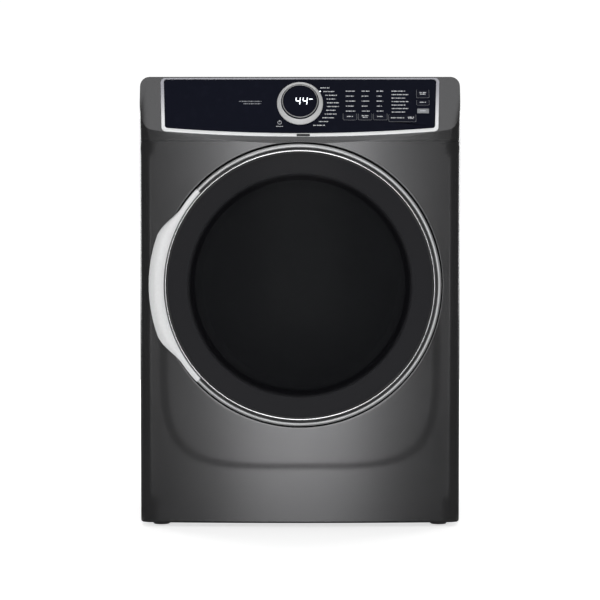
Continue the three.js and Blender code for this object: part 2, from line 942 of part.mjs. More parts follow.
function drumLamp() {
  return turned([
    [0, lampDepth],
    [lampRadius * 0.6, lampDepth - 2],
    [lampRadius * 0.9, lampDepth / 2],
    [lampRadius, 0],
    [0, 0],
  ], smallSides, 0, frontBulkheadY + gap, doorHeight + lampRise);
}

// Drive
function beltOutline(drumAt, pulleyAt) {
  const length = Math.hypot(driveX, driveZ - doorHeight);
  const heading = THREE.MathUtils.radToDeg(Math.atan2(driveZ - doorHeight, driveX)) + 360;
  const spread = THREE.MathUtils.radToDeg(Math.acos((drumAt - pulleyAt) / length));
  return [
    ...arc(0, doorHeight, drumAt, heading + spread, heading - spread + 360, fineSides),
    ...arc(driveX, driveZ, pulleyAt, heading - spread, heading + spread, tinySides),
  ];
}

function driveBelt() {
  const from = beltY - beltWidth / 2;
  const to = beltY + beltWidth / 2;
  const innerDrum = drumRadius + beltFit;
  const innerPulley = pulleyRadius + beltFit;
  const outer = alongY(beltOutline(innerDrum + beltThickness, innerPulley + beltThickness), from, to);
  const inner = alongY(beltOutline(innerDrum + gap, innerPulley), from - reach, to + reach);
  return outer.subtract(inner);
}

function motor() {
  const shell = rodY(driveX, driveZ, motorRadius, motorFrontY, motorFrontY + motorLength, mediumSides);
  const nose = motorRadius * 0.4;
  const hub = rodY(driveX, driveZ, nose, motorFrontY - reach, motorFrontY + motorLength + reach);
  const bore = rodY(driveX, driveZ, shaftRadius + shaftFit, -rearY, rearY);
  const hollow = rodY(
    driveX,
    driveZ,
    motorRadius - motorWall,
    motorFrontY + motorWall,
    motorFrontY + motorLength - motorWall,
    mediumSides,
  );
  return cutBy(shell.add(hub), [bore, hollow]);
}

function motorShaft() {
  const back = beltY + beltWidth;
  const from = beltY - beltWidth / 2 - beltFit;
  const to = beltY + beltWidth / 2 + beltFit;
  const radius = pulleyRadius + beltThickness + pulleyFlange;
  return joined([
    rodY(driveX, driveZ, shaftRadius, blowerFrontY + blowerDepth / 2, back),
    rodY(driveX, driveZ, pulleyRadius, from - 1, to + 1),
    rodY(driveX, driveZ, radius, from - pulleyFlange, from),
    rodY(driveX, driveZ, radius, to, to + pulleyFlange),
  ]);
}

function motorMount() {
  const low = basePanLift + sheet + gap;
  const front = motorFrontY + (motorLength - mountLength) / 2;
  const cradle = block(
    driveX - mountWidth / 2,
    driveX + mountWidth / 2,
    front,
    front + mountLength,
    low,
    driveZ - motorRadius / 2,
  );
  const postY = beltY - idlerWidth / 2 - idlerArmThickness - reach;
  const plate = block(
    driveX - mountWidth / 2,
    idlerPivotX + idlerArmHalf,
    front,
    postY,
    low,
    low + mountPlate,
  );
  const post = block(
    idlerPivotX - idlerArmHalf,
    idlerPivotX + idlerArmHalf,
    postY - reach,
    postY,
    low,
    idlerPivotZ + idlerArmHalf,
  );
  const pin = rodY(idlerPivotX, idlerPivotZ, idlerPinRadius, postY - 1, beltY - idlerWidth / 2, tinySides);
  const seat = rodY(driveX, driveZ, motorRadius + gap, -rearY, rearY, mediumSides);
  return joined([cradle.subtract(seat), plate, post, pin]);
}

function idlerPlace() {
  const length = Math.hypot(driveX, driveZ - doorHeight);
  const heading = Math.atan2(driveZ - doorHeight, driveX);
  const turn = heading + Math.acos((drumRadius - pulleyRadius) / length);
  const out = [Math.cos(turn), Math.sin(turn)];
  const along = (drumCentre, pulleyCentre, axis) => {
    const start = drumCentre + (drumRadius + beltFit) * out[axis];
    const end = pulleyCentre + (pulleyRadius + beltFit) * out[axis];
    return start + (end - start) * idlerAlong + (beltThickness + gap + idlerRadius) * out[axis];
  };
  return [along(0, driveX, 0), along(doorHeight, driveZ, 1)];
}

function idlerArm() {
  const [x, z] = idlerPlace();
  const back = beltY - idlerWidth / 2 - gap;
  const front = back - idlerArmThickness;
  const lean = Math.atan2(z - idlerPivotZ, x - idlerPivotX);
  const sideways = [-Math.sin(lean) * idlerArmHalf, Math.cos(lean) * idlerArmHalf];
  const bar = alongY([
    [idlerPivotX + sideways[0], idlerPivotZ + sideways[1]],
    [x + sideways[0], z + sideways[1]],
    [x - sideways[0], z - sideways[1]],
    [idlerPivotX - sideways[0], idlerPivotZ - sideways[1]],
  ], front, back);
  const ends = joined([
    rodY(idlerPivotX, idlerPivotZ, idlerArmHalf, front, back),
    rodY(x, z, idlerArmHalf, front, back),
    rodY(x, z, idlerPinRadius, front, back + idlerWidth, tinySides),
  ]);
  return bar.add(ends).subtract(rodY(idlerPivotX, idlerPivotZ, idlerPinRadius + gap, -rearY, rearY, tinySides));
}

function idlerPulley() {
  const [x, z] = idlerPlace();
  const front = beltY - idlerWidth / 2;
  return tubeY(x, z, idlerRadius, idlerPinRadius + gap, front, front + idlerWidth);
}

// Air path
function lintDuct() {
  const front = ductBackY - ductDepth;
  const top = doorHeight - collarRadius * 0.8;
  const half = ductHalfWidth;
  const box = block(-half, half, front, ductBackY, ductBottom, top);
  const hollow = block(
    ductWall - half,
    half - ductWall,
    front + ductWall,
    ductBackY - ductWall,
    ductBottom + ductWall,
    top + reach,
  );
  const collarSpace = rodY(0, doorHeight, collarRadius + collarWall + gap, -rearY, rearY, fineSides);
  const outlet = rodY(driveX, driveZ, blowerInlet, ductBackY - reach, ductBackY + reach);
  return cutBy(box, [hollow, collarSpace, outlet]);
}

function lintFilter() {
  const front = pocketBackY + filterSetBack - filterThickness - filterFit * 8;
  const back = front + filterThickness;
  const half = filterHalfWidth;
  const body = block(-half, half, front, back, filterBottom, doorHeight)
    .subtract(rodY(0, doorHeight, collarRadius, -rearY, rearY, fineSides));
  const pocket = block(
    filterFrame - half,
    half - filterFrame,
    front + 2,
    back - 2,
    filterBottom + filterFrame,
    doorHeight,
  );
  return body.subtract(pocket);
}

function blowerHousing() {
  const pipeReach = pipeRadius + blowerWall;
  const scroll = (inset, from, to) => {
    const round = rodY(driveX, driveZ, blowerRadius - inset, from, to, mediumSides);
    const chute = block(
      pipeX - pipeReach + inset,
      driveX,
      from,
      to,
      driveZ - blowerRadius + inset,
      pipeZ + pipeReach - inset,
    );
    return round.add(chute);
  };
  const outer = scroll(0, blowerFrontY, blowerBackY);
  const inner = scroll(blowerWall, blowerFrontY + blowerWall, blowerBackY - blowerWall);
  const inlet = rodY(driveX, driveZ, blowerInlet, blowerFrontY - reach, blowerFrontY + reach);
  const shaftHole = rodY(driveX, driveZ, shaftRadius + 4, blowerBackY - reach, blowerBackY + reach);
  const outlet = rodY(pipeX, pipeZ, pipeRadius - pipeWall, blowerBackY - reach, blowerBackY + reach);
  return cutBy(outer, [inner, inlet, shaftHole, outlet]);
}

function blowerWheel() {
  const front = blowerFrontY + blowerWall * 3;
  const back = blowerBackY - blowerWall * 3;
  const plate = rodY(driveX, driveZ, wheelRadius, back - 2, back, mediumSides);
  const hub = rodY(driveX, driveZ, shaftRadius + reach, front + 12, back);
  const blades = Array.from({ length: wheelBlades }, (_, i) => {
    const turn = new THREE.Matrix4()
      .makeRotationY((2 * Math.PI * i) / wheelBlades)
      .setPosition(driveX, 0, driveZ);
    const plan = [[shaftRadius + 4, -1], [wheelRadius - 1, -1], [wheelRadius - 1, 1], [shaftRadius + 4, 1]];
    return alongY(plan, front, back - 1, turn);
  });
  const bore = rodY(driveX, driveZ, shaftRadius + gap, -rearY, rearY);
  return joined([plate, hub, ...blades]).subtract(bore);
}

function exhaustPipe() {
  const front = blowerBackY + gap;
  return tubeY(pipeX, pipeZ, pipeRadius, pipeRadius - pipeWall, front, rearY + exhaustProud, mediumSides);
}

function heaterHousing() {
  const front = rearBulkheadY + sheet + gap;
  const half = heaterHalfWidth;
  const box = block(-half, half, front, front + heaterDepth, heaterLow, heaterHigh);
  const hollow = block(
    sheet - half,
    half - sheet,
    front - reach,
    front + heaterDepth - sheet,
    heaterLow + sheet,
    heaterHigh - sheet,
  );
  return box.subtract(hollow);
}

function terminalCover() {
  const front = rearY + gap;
  return block(
    terminalX - terminalHalfWidth,
    terminalX + terminalHalfWidth,
    front,
    front + terminalCoverDepth,
    terminalZ - terminalHalfHeight,
    terminalZ + terminalHalfHeight,
  );
}

function terminalBlock() {
  const back = rearY - sheet - gap;
  const inset = reach * 2;
  return block(
    terminalX - terminalHalfWidth + inset,
    terminalX + terminalHalfWidth - inset,
    back - terminalBlockDepth,
    back,
    terminalZ - terminalHalfHeight + inset,
    terminalZ + terminalHalfHeight - inset,
  );
}

// The whole machine
const cabinet = new THREE.Group();
cabinet.add(
  piece('base_pan', basePan(), galvanised),
  piece('front_panel', frontPanel(), paint),
  piece('side_panel_left', sidePanel(-1), darkPaint),
  piece('side_panel_right', sidePanel(1), darkPaint),
  piece('top_panel', topPanel(), darkPaint),
  piece('rear_panel', rearPanel(), galvanised),
  piece('terminal_cover', terminalCover(), galvanised),
  piece('terminal_block', terminalBlock(), mouldedWhite),
  ...Object.entries(footPlaces).map(([name, place]) => piece(name, levellingFoot(place), rubber)),
);

const consoleFace = new THREE.Group();
consoleFace.position.set(0, faceOriginY, faceOriginZ);
consoleFace.rotation.x = -faceLean;
consoleFace.add(
  piece('console_trim', consoleTrim(), satin),
  piece('fascia', fascia(), glossBlack),
  piece('control_board', controlBoard(), boardGreen),
  piece('display_lens', displayLens(), glossBlack),
  piece('dial', dial(), chrome),
  ...Object.entries(keySizes).map(([name, size]) => piece(name, key(size), glossBlack)),
);

const door = new THREE.Group();
door.add(
  piece('door_ring', doorRing(), satin),
  piece('door_handle', doorHandle(), satin),
  piece('outer_glass', outerGlass(), glass),
  piece('door_frame', doorFrame(), mouldedBlack),
  piece('door_liner', doorLiner(), mouldedGrey),
  piece('window_bowl', windowBowl(), glass),
  piece('door_seal', doorSeal(), rubber),
  piece('door_strike', doorStrike(), galvanised),
  piece('hinge_leaf', hingeLeaf(), galvanised),
);

const drumGroup = new THREE.Group();
drumGroup.add(piece('drum', drum(), stainless));
for (let i = 0; i < baffleCount; i += 1) {
  drumGroup.add(piece(`baffle_${i + 1}`, baffle(i), mouldedGrey));
}

const works = new THREE.Group();
works.add(
  piece('hinge_bracket', hingeBracket(), galvanised),
  piece('door_catch', doorCatch(), mouldedBlack),
  piece('front_bulkhead', frontBulkhead(), galvanised),
  piece('rear_bulkhead', rearBulkhead(), galvanised),
  piece('front_felt', feltRing(drumFrontY - gap - feltThickness), felt),
  piece('rear_felt', feltRing(drumRearY + gap), felt),
  piece('roller_left', roller(rollerPlaces[0]), rubber),
  piece('roller_right', roller(rollerPlaces[1]), rubber),
  piece('drum_lamp', drumLamp(), mouldedWhite),
  piece('drive_belt', driveBelt(), rubber),
  piece('motor', motor(), motorBlack),
  piece('motor_shaft', motorShaft(), galvanised),
  piece('motor_mount', motorMount(), galvanised),
  piece('idler_arm', idlerArm(), galvanised),
  piece('idler_pulley', idlerPulley(), mouldedGrey),
  piece('blower_housing', blowerHousing(), mouldedGrey),
  piece('blower_wheel', blowerWheel(), mouldedGrey),
  piece('lint_duct', lintDuct(), mouldedGrey),
  piece('lint_filter', lintFilter(), mouldedWhite),
  piece('exhaust_pipe', exhaustPipe(), galvanised),
  piece('heater_housing', heaterHousing(), galvanised),
);

const dryer = new THREE.Group();
dryer.add(
  cabinet,
  piece('console_shell', consoleShell(), paint),
  consoleFace,
  door,
  drumGroup,
  works,
);

export default dryer;
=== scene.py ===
import json
import math

import bmesh
import bpy
from mathutils import Matrix, Vector

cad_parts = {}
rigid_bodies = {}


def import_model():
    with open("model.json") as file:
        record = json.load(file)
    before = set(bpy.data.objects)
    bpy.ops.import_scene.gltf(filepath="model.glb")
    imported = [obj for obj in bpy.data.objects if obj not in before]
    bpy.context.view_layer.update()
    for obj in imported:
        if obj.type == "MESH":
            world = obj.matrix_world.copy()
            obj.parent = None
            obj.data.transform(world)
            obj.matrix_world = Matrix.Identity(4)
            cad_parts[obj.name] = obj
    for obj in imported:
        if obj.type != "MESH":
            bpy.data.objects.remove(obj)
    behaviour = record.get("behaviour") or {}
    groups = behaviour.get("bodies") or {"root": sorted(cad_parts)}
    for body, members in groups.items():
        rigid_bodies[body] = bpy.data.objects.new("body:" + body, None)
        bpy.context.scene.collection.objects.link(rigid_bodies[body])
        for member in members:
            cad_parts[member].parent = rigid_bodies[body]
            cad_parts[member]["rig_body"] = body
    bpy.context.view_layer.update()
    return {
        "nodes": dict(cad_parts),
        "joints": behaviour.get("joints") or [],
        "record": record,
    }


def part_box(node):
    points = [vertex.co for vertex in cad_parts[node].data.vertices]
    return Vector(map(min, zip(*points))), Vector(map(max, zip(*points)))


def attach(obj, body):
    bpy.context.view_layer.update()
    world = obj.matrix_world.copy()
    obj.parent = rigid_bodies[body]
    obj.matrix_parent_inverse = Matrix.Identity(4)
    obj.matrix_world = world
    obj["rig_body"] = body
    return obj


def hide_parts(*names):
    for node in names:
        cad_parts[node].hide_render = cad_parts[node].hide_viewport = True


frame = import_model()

# ---------------------------------------------------------------- sizes
MM = 0.001
panel_low, panel_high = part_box("front_panel")
ring_low, ring_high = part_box("door_ring")
glass_low, glass_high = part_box("outer_glass")
drum_low, drum_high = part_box("drum")
rear_low, rear_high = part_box("rear_panel")

FRONT = panel_low.y
HALF_WIDTH = panel_high.x
PANEL_BOTTOM = panel_low.z
PANEL_TOP = panel_high.z
WRAP_END = panel_high.y
DOOR_Z = (ring_low.z + ring_high.z) / 2
DOOR_RADIUS = ring_high.z - DOOR_Z
GLASS_RADIUS = glass_high.z - DOOR_Z
DOME = FRONT - glass_low.y
DRUM_RADIUS = drum_high.z - DOOR_Z
SHEET = 0.9 * MM
CORNER = 24 * MM
BOW = 12 * MM
POCKET_RADIUS = DOOR_RADIUS + 3.5 * MM
POCKET_DEPTH = 20 * MM
OPENING_RADIUS = 218 * MM
LIP = 2 * MM
LEAN_FOOT = 822 * MM
CREASE_HALF = 292 * MM
CREASE_TOP = 401 * MM
CREASE_DEPTH = 269 * MM
CREASE_POWER = 4.4
CREASE_STEP = 0.5 * MM

dial_joint = next(j for j in frame["joints"] if j["name"] == "dial_turn")
hinge_joint = next(j for j in frame["joints"] if j["name"] == "door_hinge")
DIAL = Vector(dial_joint["pos_m"])
OUT = Vector(dial_joint["axis"]).normalized()
LEAN = math.atan2(OUT.z, -OUT.y)
PIVOT = Vector(hinge_joint["pos_m"])
DIAL_RISE = 8 * MM
UP_FACE = Vector((0, math.sin(LEAN), math.cos(LEAN)))
FACE = Matrix((
    (1, 0, 0, DIAL.x),
    (0, -OUT.y, UP_FACE.y, DIAL.y - DIAL_RISE * UP_FACE.y),
    (0, -OUT.z, UP_FACE.z, DIAL.z - DIAL_RISE * UP_FACE.z),
    (0, 0, 0, 1),
))


# ---------------------------------------------------------------- shader maths
OBJECT_COORDINATES = 3


class Value:
    """A shader socket that takes part in sums."""

    def __init__(self, shader, socket):
        self.shader = shader
        self.socket = socket

    def maths(self, operation, *others):
        return self.shader.make("ShaderNodeMath", {"operation": operation}, dict(enumerate(others)))

    def __add__(self, other):
        return self.maths("ADD", self, other)

    def __radd__(self, other):
        return self.maths("ADD", other, self)

    def __sub__(self, other):
        return self.maths("SUBTRACT", self, other)

    def __rsub__(self, other):
        return self.maths("SUBTRACT", other, self)

    def __mul__(self, other):
        return self.maths("MULTIPLY", self, other)

    def __rmul__(self, other):
        return self.maths("MULTIPLY", other, self)

    def above(self, edge, softness):
        return self.shader.make(
            "ShaderNodeMapRange",
            {"interpolation_type": "SMOOTHSTEP"},
            {"Value": self, "From Min": edge - softness, "From Max": edge + softness},
        )


class Shader:
    """A material with a Principled shader, and one method that makes any other node."""

    def __init__(self, name):
        self.material = bpy.data.materials.new(name)
        self.material.use_nodes = True
        self.tree = self.material.node_tree
        self.principled = self.tree.nodes["Principled BSDF"]

    def make(self, kind, settings=None, sockets=None, output=0):
        node = self.tree.nodes.new(kind)
        for key, value in (settings or {}).items():
            if key == "stops":
                ramp = node.color_ramp
                while len(ramp.elements) < len(value):
                    ramp.elements.new(0.5)
                for element, (place, colour) in zip(ramp.elements, value):
                    element.position = place
                    element.color = (*colour, 1)
            else:
                setattr(node, key, value)
        for key, value in (sockets or {}).items():
            self.feed(node.inputs[key], value)
        return Value(self, node.outputs[output])

    def feed(self, socket, value):
        if isinstance(value, Value):
            self.tree.links.new(value.socket, socket)
        else:
            socket.default_value = value

    def place(self, scale=(1, 1, 1), turn=(0, 0, 0), shift=(0, 0, 0)):
        here = self.make("ShaderNodeTexCoord", output=OBJECT_COORDINATES)
        return self.make(
            "ShaderNodeMapping",
            {},
            {"Vector": here, "Scale": scale, "Rotation": turn, "Location": shift},
        )

    def axes(self):
        """The piece's own X, Y and Z, as three values."""
        here = self.make("ShaderNodeTexCoord", output=OBJECT_COORDINATES)
        parts = self.make("ShaderNodeSeparateXYZ", {}, {0: here})
        return [Value(self, socket) for socket in parts.socket.node.outputs]

    def noise(self, scale, detail=2.0, at=None):
        sockets = {"Vector": at or self.place(), "Scale": scale, "Detail": detail}
        return self.make("ShaderNodeTexNoise", {}, sockets)

    def mix(self, factor, first, second):
        blend = {6: first, 7: second, 0: factor}
        return self.make("ShaderNodeMix", {"data_type": "RGBA"}, blend, output=2)

    def bump(self, height, strength, distance):
        sockets = {"Height": height, "Strength": strength, "Distance": distance}
        return self.make("ShaderNodeBump", {}, sockets)

    def finish(self, **sockets):
        for key, value in sockets.items():
            self.feed(self.principled.inputs[key.replace("_", " ")], value)
        return self.material


def rgb(r, g, b):
    return (r, g, b, 1)


def dimmed(colour, share):
    return rgb(*(c * share for c in colour[:3]))


def metallic_paint(name, dark, light, roughness, metallic=0.8):
    s = Shader(name)
    flakes = s.noise(1500, 1.0)
    clouds = s.noise(9, 2.0)
    mottled = s.mix(flakes.above(0.5, 0.2) * 0.7 + clouds * 0.25, dark, light)
    peel = s.bump(s.noise(420, 1.0), 0.03, 0.0004)
    return s.finish(
        Base_Color=mottled,
        Metallic=metallic,
        Roughness=flakes * 0.06 + clouds * 0.05 + (roughness - 0.05),
        Normal=peel,
        Coat_Weight=0.25,
        Coat_Roughness=0.22,
    )


def brushed_metal(name, colour, roughness, scale, metallic=1.0, depth=0.04):
    s = Shader(name)
    grain = s.noise(1.0, 3.0, at=s.place(scale=scale))
    patches = s.noise(14, 2.0)
    return s.finish(
        Base_Color=s.mix(grain * 0.8, dimmed(colour, 0.86), colour),
        Metallic=metallic,
        Roughness=grain * 0.12 + patches * 0.08 + (roughness - 0.1),
        Normal=s.bump(grain, depth, 0.0003),
    )


def trim_with_painted_light(name):
    """Satin frame painted lighter at its foot and darker at its head: a painted highlight below and
    painted shade above.
    """
    s = Shader(name)
    height = s.axes()[2]
    # head masks the upper frame, which is painted darker as painted shade; the foot takes the bright
    # colour as a painted highlight
    head = height.above(905 * MM, 45 * MM)
    grain = s.noise(1.0, 3.0, at=s.place(scale=(20, 500, 500)))
    return s.finish(
        Base_Color=s.mix(head, rgb(0.93, 0.935, 0.95), rgb(0.42, 0.42, 0.46)),
        Metallic=0.35,
        Roughness=grain * 0.1 + 0.24,
        Normal=s.bump(grain, 0.01, 0.0003),
    )


def chrome_plate(name, colour, roughness):
    s = Shader(name)
    smears = s.noise(24, 3.0)
    return s.finish(
        Base_Color=s.mix(smears * 0.3, colour, rgb(0.7, 0.71, 0.74)),
        Metallic=1.0,
        Roughness=smears * 0.05 + roughness,
        Normal=s.bump(s.noise(160, 1.0), 0.01, 0.0003),
    )


def gloss_plastic(name, colour, roughness=0.09, coat=0.02):
    s = Shader(name)
    dust = s.noise(60, 4.0)
    lighter = rgb(*(min(1, c * 1.25 + 0.002) for c in colour[:3]))
    return s.finish(
        Base_Color=s.mix(dust.above(0.62, 0.1) * 0.4, colour, lighter),
        Roughness=dust * 0.05 + roughness,
        Normal=s.bump(s.noise(90, 1.0), 0.006, 0.0005),
        Specular_IOR_Level=0.03,
        Coat_Weight=coat,
        Coat_Roughness=0.06,
    )


def moulded_plastic(name, colour, roughness=0.5, grain=900):
    s = Shader(name)
    texture = s.noise(grain, 2.0)
    patches = s.noise(7, 2.0)
    return s.finish(
        Base_Color=s.mix(patches * 0.6 + texture * 0.2, colour, dimmed(colour, 0.82)),
        Roughness=texture * 0.12 + (roughness - 0.06),
        Normal=s.bump(texture, 0.12, 0.0003),
    )


def zinc_sheet(name):
    s = Shader(name)
    spangle = s.make("ShaderNodeTexVoronoi", {}, {"Vector": s.place(), "Scale": 160.0}, output=1)
    tone = s.make("ShaderNodeSeparateColor", {}, {"Color": spangle})
    rolled = s.noise(1.0, 2.0, at=s.place(scale=(600, 600, 5)))
    return s.finish(
        Base_Color=s.mix(tone * 0.5 + rolled * 0.3, rgb(0.5, 0.515, 0.53), rgb(0.6, 0.615, 0.625)),
        Metallic=0.75,
        Roughness=tone * 0.05 + 0.42,
        Normal=s.bump(rolled, 0.02, 0.0003),
    )


def soft_rubber(name, colour):
    s = Shader(name)
    bloom = s.noise(30, 4.0)
    fine = s.noise(1400, 1.0)
    return s.finish(
        Base_Color=s.mix(bloom.above(0.6, 0.15) * 0.5, colour, rgb(0.07, 0.07, 0.072)),
        Roughness=bloom * 0.15 + 0.68,
        Normal=s.bump(fine, 0.15, 0.0002),
    )


def wool_felt(name):
    s = Shader(name)
    fibres = s.noise(1.0, 5.0, at=s.place(scale=(900, 300, 900)))
    return s.finish(
        Base_Color=s.mix(fibres, rgb(0.3, 0.28, 0.24), rgb(0.55, 0.52, 0.46)),
        Roughness=0.95,
        Normal=s.bump(fibres, 0.6, 0.0006),
    )


def circuit_board(name):
    s = Shader(name)
    tracks = s.make("ShaderNodeTexBrick", {}, {
        "Vector": s.place(), "Scale": 120.0, "Color1": rgb(0.012, 0.11, 0.05),
        "Color2": rgb(0.02, 0.15, 0.07), "Mortar": rgb(0.05, 0.26, 0.12),
    })
    return s.finish(Base_Color=tracks, Roughness=s.noise(200) * 0.1 + 0.35)


def radial(s, centre_z):
    """Distance from the door's axis."""
    across, _, up = s.axes()
    height = up - centre_z
    total = across * across + height * height
    return total.maths("SQRT", total)


def tinted_glass(name):
    s = Shader(name)
    distance = radial(s, DOOR_Z)
    band = distance.above(236 * MM, 6 * MM)
    smears = s.noise(6, 4.0)
    return s.finish(
        Base_Color=s.mix(band, rgb(0.004, 0.004, 0.005), rgb(0.022, 0.022, 0.024)),
        Alpha=band * 0.36 + 0.62,
        Roughness=smears * 0.06 + 0.12,
        IOR=1.5,
        Specular_IOR_Level=0.018,
    )


def clear_bowl(name):
    s = Shader(name)
    haze = s.noise(20, 3.0)
    return s.finish(
        Base_Color=rgb(0.5, 0.54, 0.55),
        Alpha=haze * 0.1 + 0.28,
        Roughness=haze * 0.05 + 0.03,
        Specular_IOR_Level=0.1,
    )


def printed(name, colour, glow=0.0):
    s = Shader(name)
    ink = s.noise(800, 2.0)
    s.finish(
        Base_Color=s.mix(ink * 0.5, colour, dimmed(colour, 0.85)),
        Roughness=ink * 0.1 + 0.35,
    )
    if glow:
        s.finish(Emission_Color=colour, Emission_Strength=glow)
    return s.material


def drum_steel(name):
    s = Shader(name)
    across, along, up = s.axes()
    height = up - DOOR_Z
    turn = across.maths("ARCTAN2", height, across)
    rows = (turn * 42.0).maths("SINE", turn * 42.0)
    lanes = (along * 190.0).maths("SINE", along * 190.0)
    # The recessed dimples are coloured darker than the steel round them: painted shade in the
    # recesses
    dimples_and_shade = (rows * lanes).above(0.8, 0.1)
    grain = s.noise(1.0, 3.0, at=s.place(scale=(60, 900, 60)))
    return s.finish(
        Base_Color=s.mix(dimples_and_shade, rgb(0.62, 0.63, 0.64), rgb(0.2, 0.2, 0.21)),
        Metallic=1.0,
        Roughness=grain * 0.12 + 0.24,
        Normal=s.bump(1 - dimples_and_shade, 0.5, 0.0012),
    )


FRONT_PAINT = metallic_paint(
    "front_paint", rgb(0.085, 0.085, 0.087), rgb(0.15, 0.15, 0.154), 0.24, 0.92)
BODY_PAINT = metallic_paint(
    "body_paint", rgb(0.06, 0.06, 0.062), rgb(0.11, 0.11, 0.114), 0.36, 0.6)
SATIN = brushed_metal("satin_silver", rgb(0.5, 0.505, 0.51), 0.34, (300, 300, 300), 0.7, 0.02)
HANDLE_SATIN = brushed_metal("handle_satin", rgb(0.8, 0.805, 0.81), 0.42, (200, 200, 200), 0.2, 0.02)
TRIM_SILVER = trim_with_painted_light("trim_silver")
# Near-white and barely metallic, so the trim's bead shows a painted highlight
BEAD_SILVER_PAINTED_HIGHLIGHT = brushed_metal("bead_silver_painted_highlight", rgb(0.96, 0.965, 0.97), 0.34, (50, 400, 400), 0.1, 0.01)
CHROME = chrome_plate("chrome", rgb(0.9, 0.9, 0.91), 0.05)
BLACK_GLOSS = gloss_plastic("gloss_black", rgb(0.005, 0.006, 0.013))
KEY_BLACK = gloss_plastic("key_black", rgb(0.011, 0.012, 0.02), 0.14)
KEY_GREY = moulded_plastic("key_grey", rgb(0.3, 0.31, 0.33), 0.35)
DARK_MOULDED = moulded_plastic("moulded_black", rgb(0.018, 0.018, 0.02))
GREY_MOULDED = moulded_plastic("moulded_grey", rgb(0.2, 0.205, 0.215))
WHITE_MOULDED = moulded_plastic("moulded_white", rgb(0.72, 0.73, 0.74), 0.42)
ZINC = zinc_sheet("zinc_sheet")
RUBBER = soft_rubber("rubber", rgb(0.03, 0.03, 0.031))
FELT = wool_felt("felt")
BOARD = circuit_board("circuit_board")
GLASS = tinted_glass("door_glass")
BOWL = clear_bowl("bowl_glass")
DRUM_STEEL = drum_steel("drum_steel")
# The white print is given a faint glow, painted light on the legends
PRINT = printed("print_white_faint_glow", rgb(0.6, 0.61, 0.64), 0.15)
PRINT_DIM = printed("print_grey", rgb(0.3, 0.31, 0.34))
DIGITS = printed("lit_digits", rgb(0.9, 0.95, 1.0), 2.2)
ENAMEL = metallic_paint("motor_enamel", rgb(0.03, 0.03, 0.032), rgb(0.06, 0.06, 0.064), 0.45, 0.4)


# ---------------------------------------------------------------- meshes
WELD = 0.002 * MM


def settle(name, bm, body, material, stands_for=(), sharp=32, outward=True):
    """Makes a piece of a bmesh, shades it and lets it ride on a body."""
    if outward:
        bmesh.ops.remove_doubles(bm, verts=bm.verts, dist=WELD)
        bmesh.ops.recalc_face_normals(bm, faces=bm.faces)
    mesh = bpy.data.meshes.new(name)
    bm.to_mesh(mesh)
    bm.free()
    mesh.materials.append(material)
    mesh.polygons.foreach_set("use_smooth", [True] * len(mesh.polygons))
    mesh.set_sharp_from_angle(angle=math.radians(sharp))
    made = bpy.data.objects.new(name, mesh)
    bpy.context.scene.collection.objects.link(made)
    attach(made, body)
    if stands_for:
        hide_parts(*stands_for)
    return made


def spin_profile(bm, points, centre, steps):
    """Turns (radius, depth) points about an axis along Y through the centre."""
    verts = [bm.verts.new((centre[0] + r, centre[1] + y, centre[2])) for r, y in points]
    edges = [bm.edges.new(pair) for pair in zip(verts, verts[1:])]
    bmesh.ops.spin(
        bm,
        geom=verts + edges,
        cent=centre,
        axis=(0, 1, 0),
        dvec=(0, 0, 0),
        angle=math.tau,
        steps=steps,
        use_merge=True,
        use_duplicate=False,
    )


def spun(name, points, centre, body, material, stands_for=(), steps=160, sharp=32):
    bm = bmesh.new()
    spin_profile(bm, points, centre, steps)
    return settle(name, bm, body, material, stands_for, sharp)


def closed(points):
    return [*points, points[0]]


def loft(bm, rows, around=True):
    """Skins rows of points, each with the same number of points."""
    rows = [closed(row) for row in rows] if around else rows
    columns = len(rows[0]) - 1
    steps = len(rows) - 1
    grid = bmesh.ops.create_grid(bm, x_segments=columns, y_segments=steps, size=1)["verts"]
    for vert in grid:
        column = round((vert.co.x + 1) / 2 * columns)
        row = round((vert.co.y + 1) / 2 * steps)
        vert.co = rows[row][column]
    bmesh.ops.remove_doubles(bm, verts=bm.verts, dist=WELD)


def face_forward(bm):
    """Turns an open skin so that most of it faces the front."""
    bmesh.ops.recalc_face_normals(bm, faces=bm.faces)
    backward = sum(f.normal.y * f.calc_area() for f in bm.faces)
    if backward > 0:
        bmesh.ops.reverse_faces(bm, faces=bm.faces)


def curve_arc(x, y, radius, start, end, steps):
    turns = [math.radians(start + (end - start) * i / steps) for i in range(steps + 1)]
    return [(x + radius * math.cos(a), y + radius * math.sin(a)) for a in turns]


def add_box(bm, low, high):
    size = Vector(high) - Vector(low)
    middle = (Vector(high) + Vector(low)) / 2
    placement = Matrix.Translation(middle) @ Matrix.Diagonal((*size, 1))
    bmesh.ops.create_cube(bm, size=1, matrix=placement)


def cap_ends(bm):
    """Closes the open ends of a skin."""
    rims = [e for e in bm.edges if len(e.link_faces) == 1]
    bmesh.ops.holes_fill(bm, edges=rims, sides=0)


def bevel_edges(bm, edges, width, segments=2):
    bmesh.ops.bevel(
        bm,
        geom=edges,
        offset=width,
        offset_type="OFFSET",
        segments=segments,
        profile=0.5,
        affect="EDGES",
        clamp_overlap=True,
        material=-1,
    )


def sharp_edges(bm, degrees=30):
    limit = math.radians(degrees)
    return [e for e in bm.edges if e.is_manifold and e.calc_face_angle(0) > limit]


def finished_copy(node, material, width=0.3 * MM, segments=2, sharp=20):
    """A copy of a CAD node with its coplanar triangles joined and its edges rounded."""
    bm = bmesh.new()
    bm.from_mesh(frame["nodes"][node].data)
    bmesh.ops.remove_doubles(bm, verts=bm.verts, dist=0.01 * MM)
    bmesh.ops.dissolve_limit(bm, angle_limit=math.radians(0.3), verts=bm.verts, edges=bm.edges)
    bevel_edges(bm, sharp_edges(bm), width, segments)
    body = frame["nodes"][node]["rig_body"]
    return settle(f"{node}_skin", bm, body, material, (node,), sharp, outward=False)


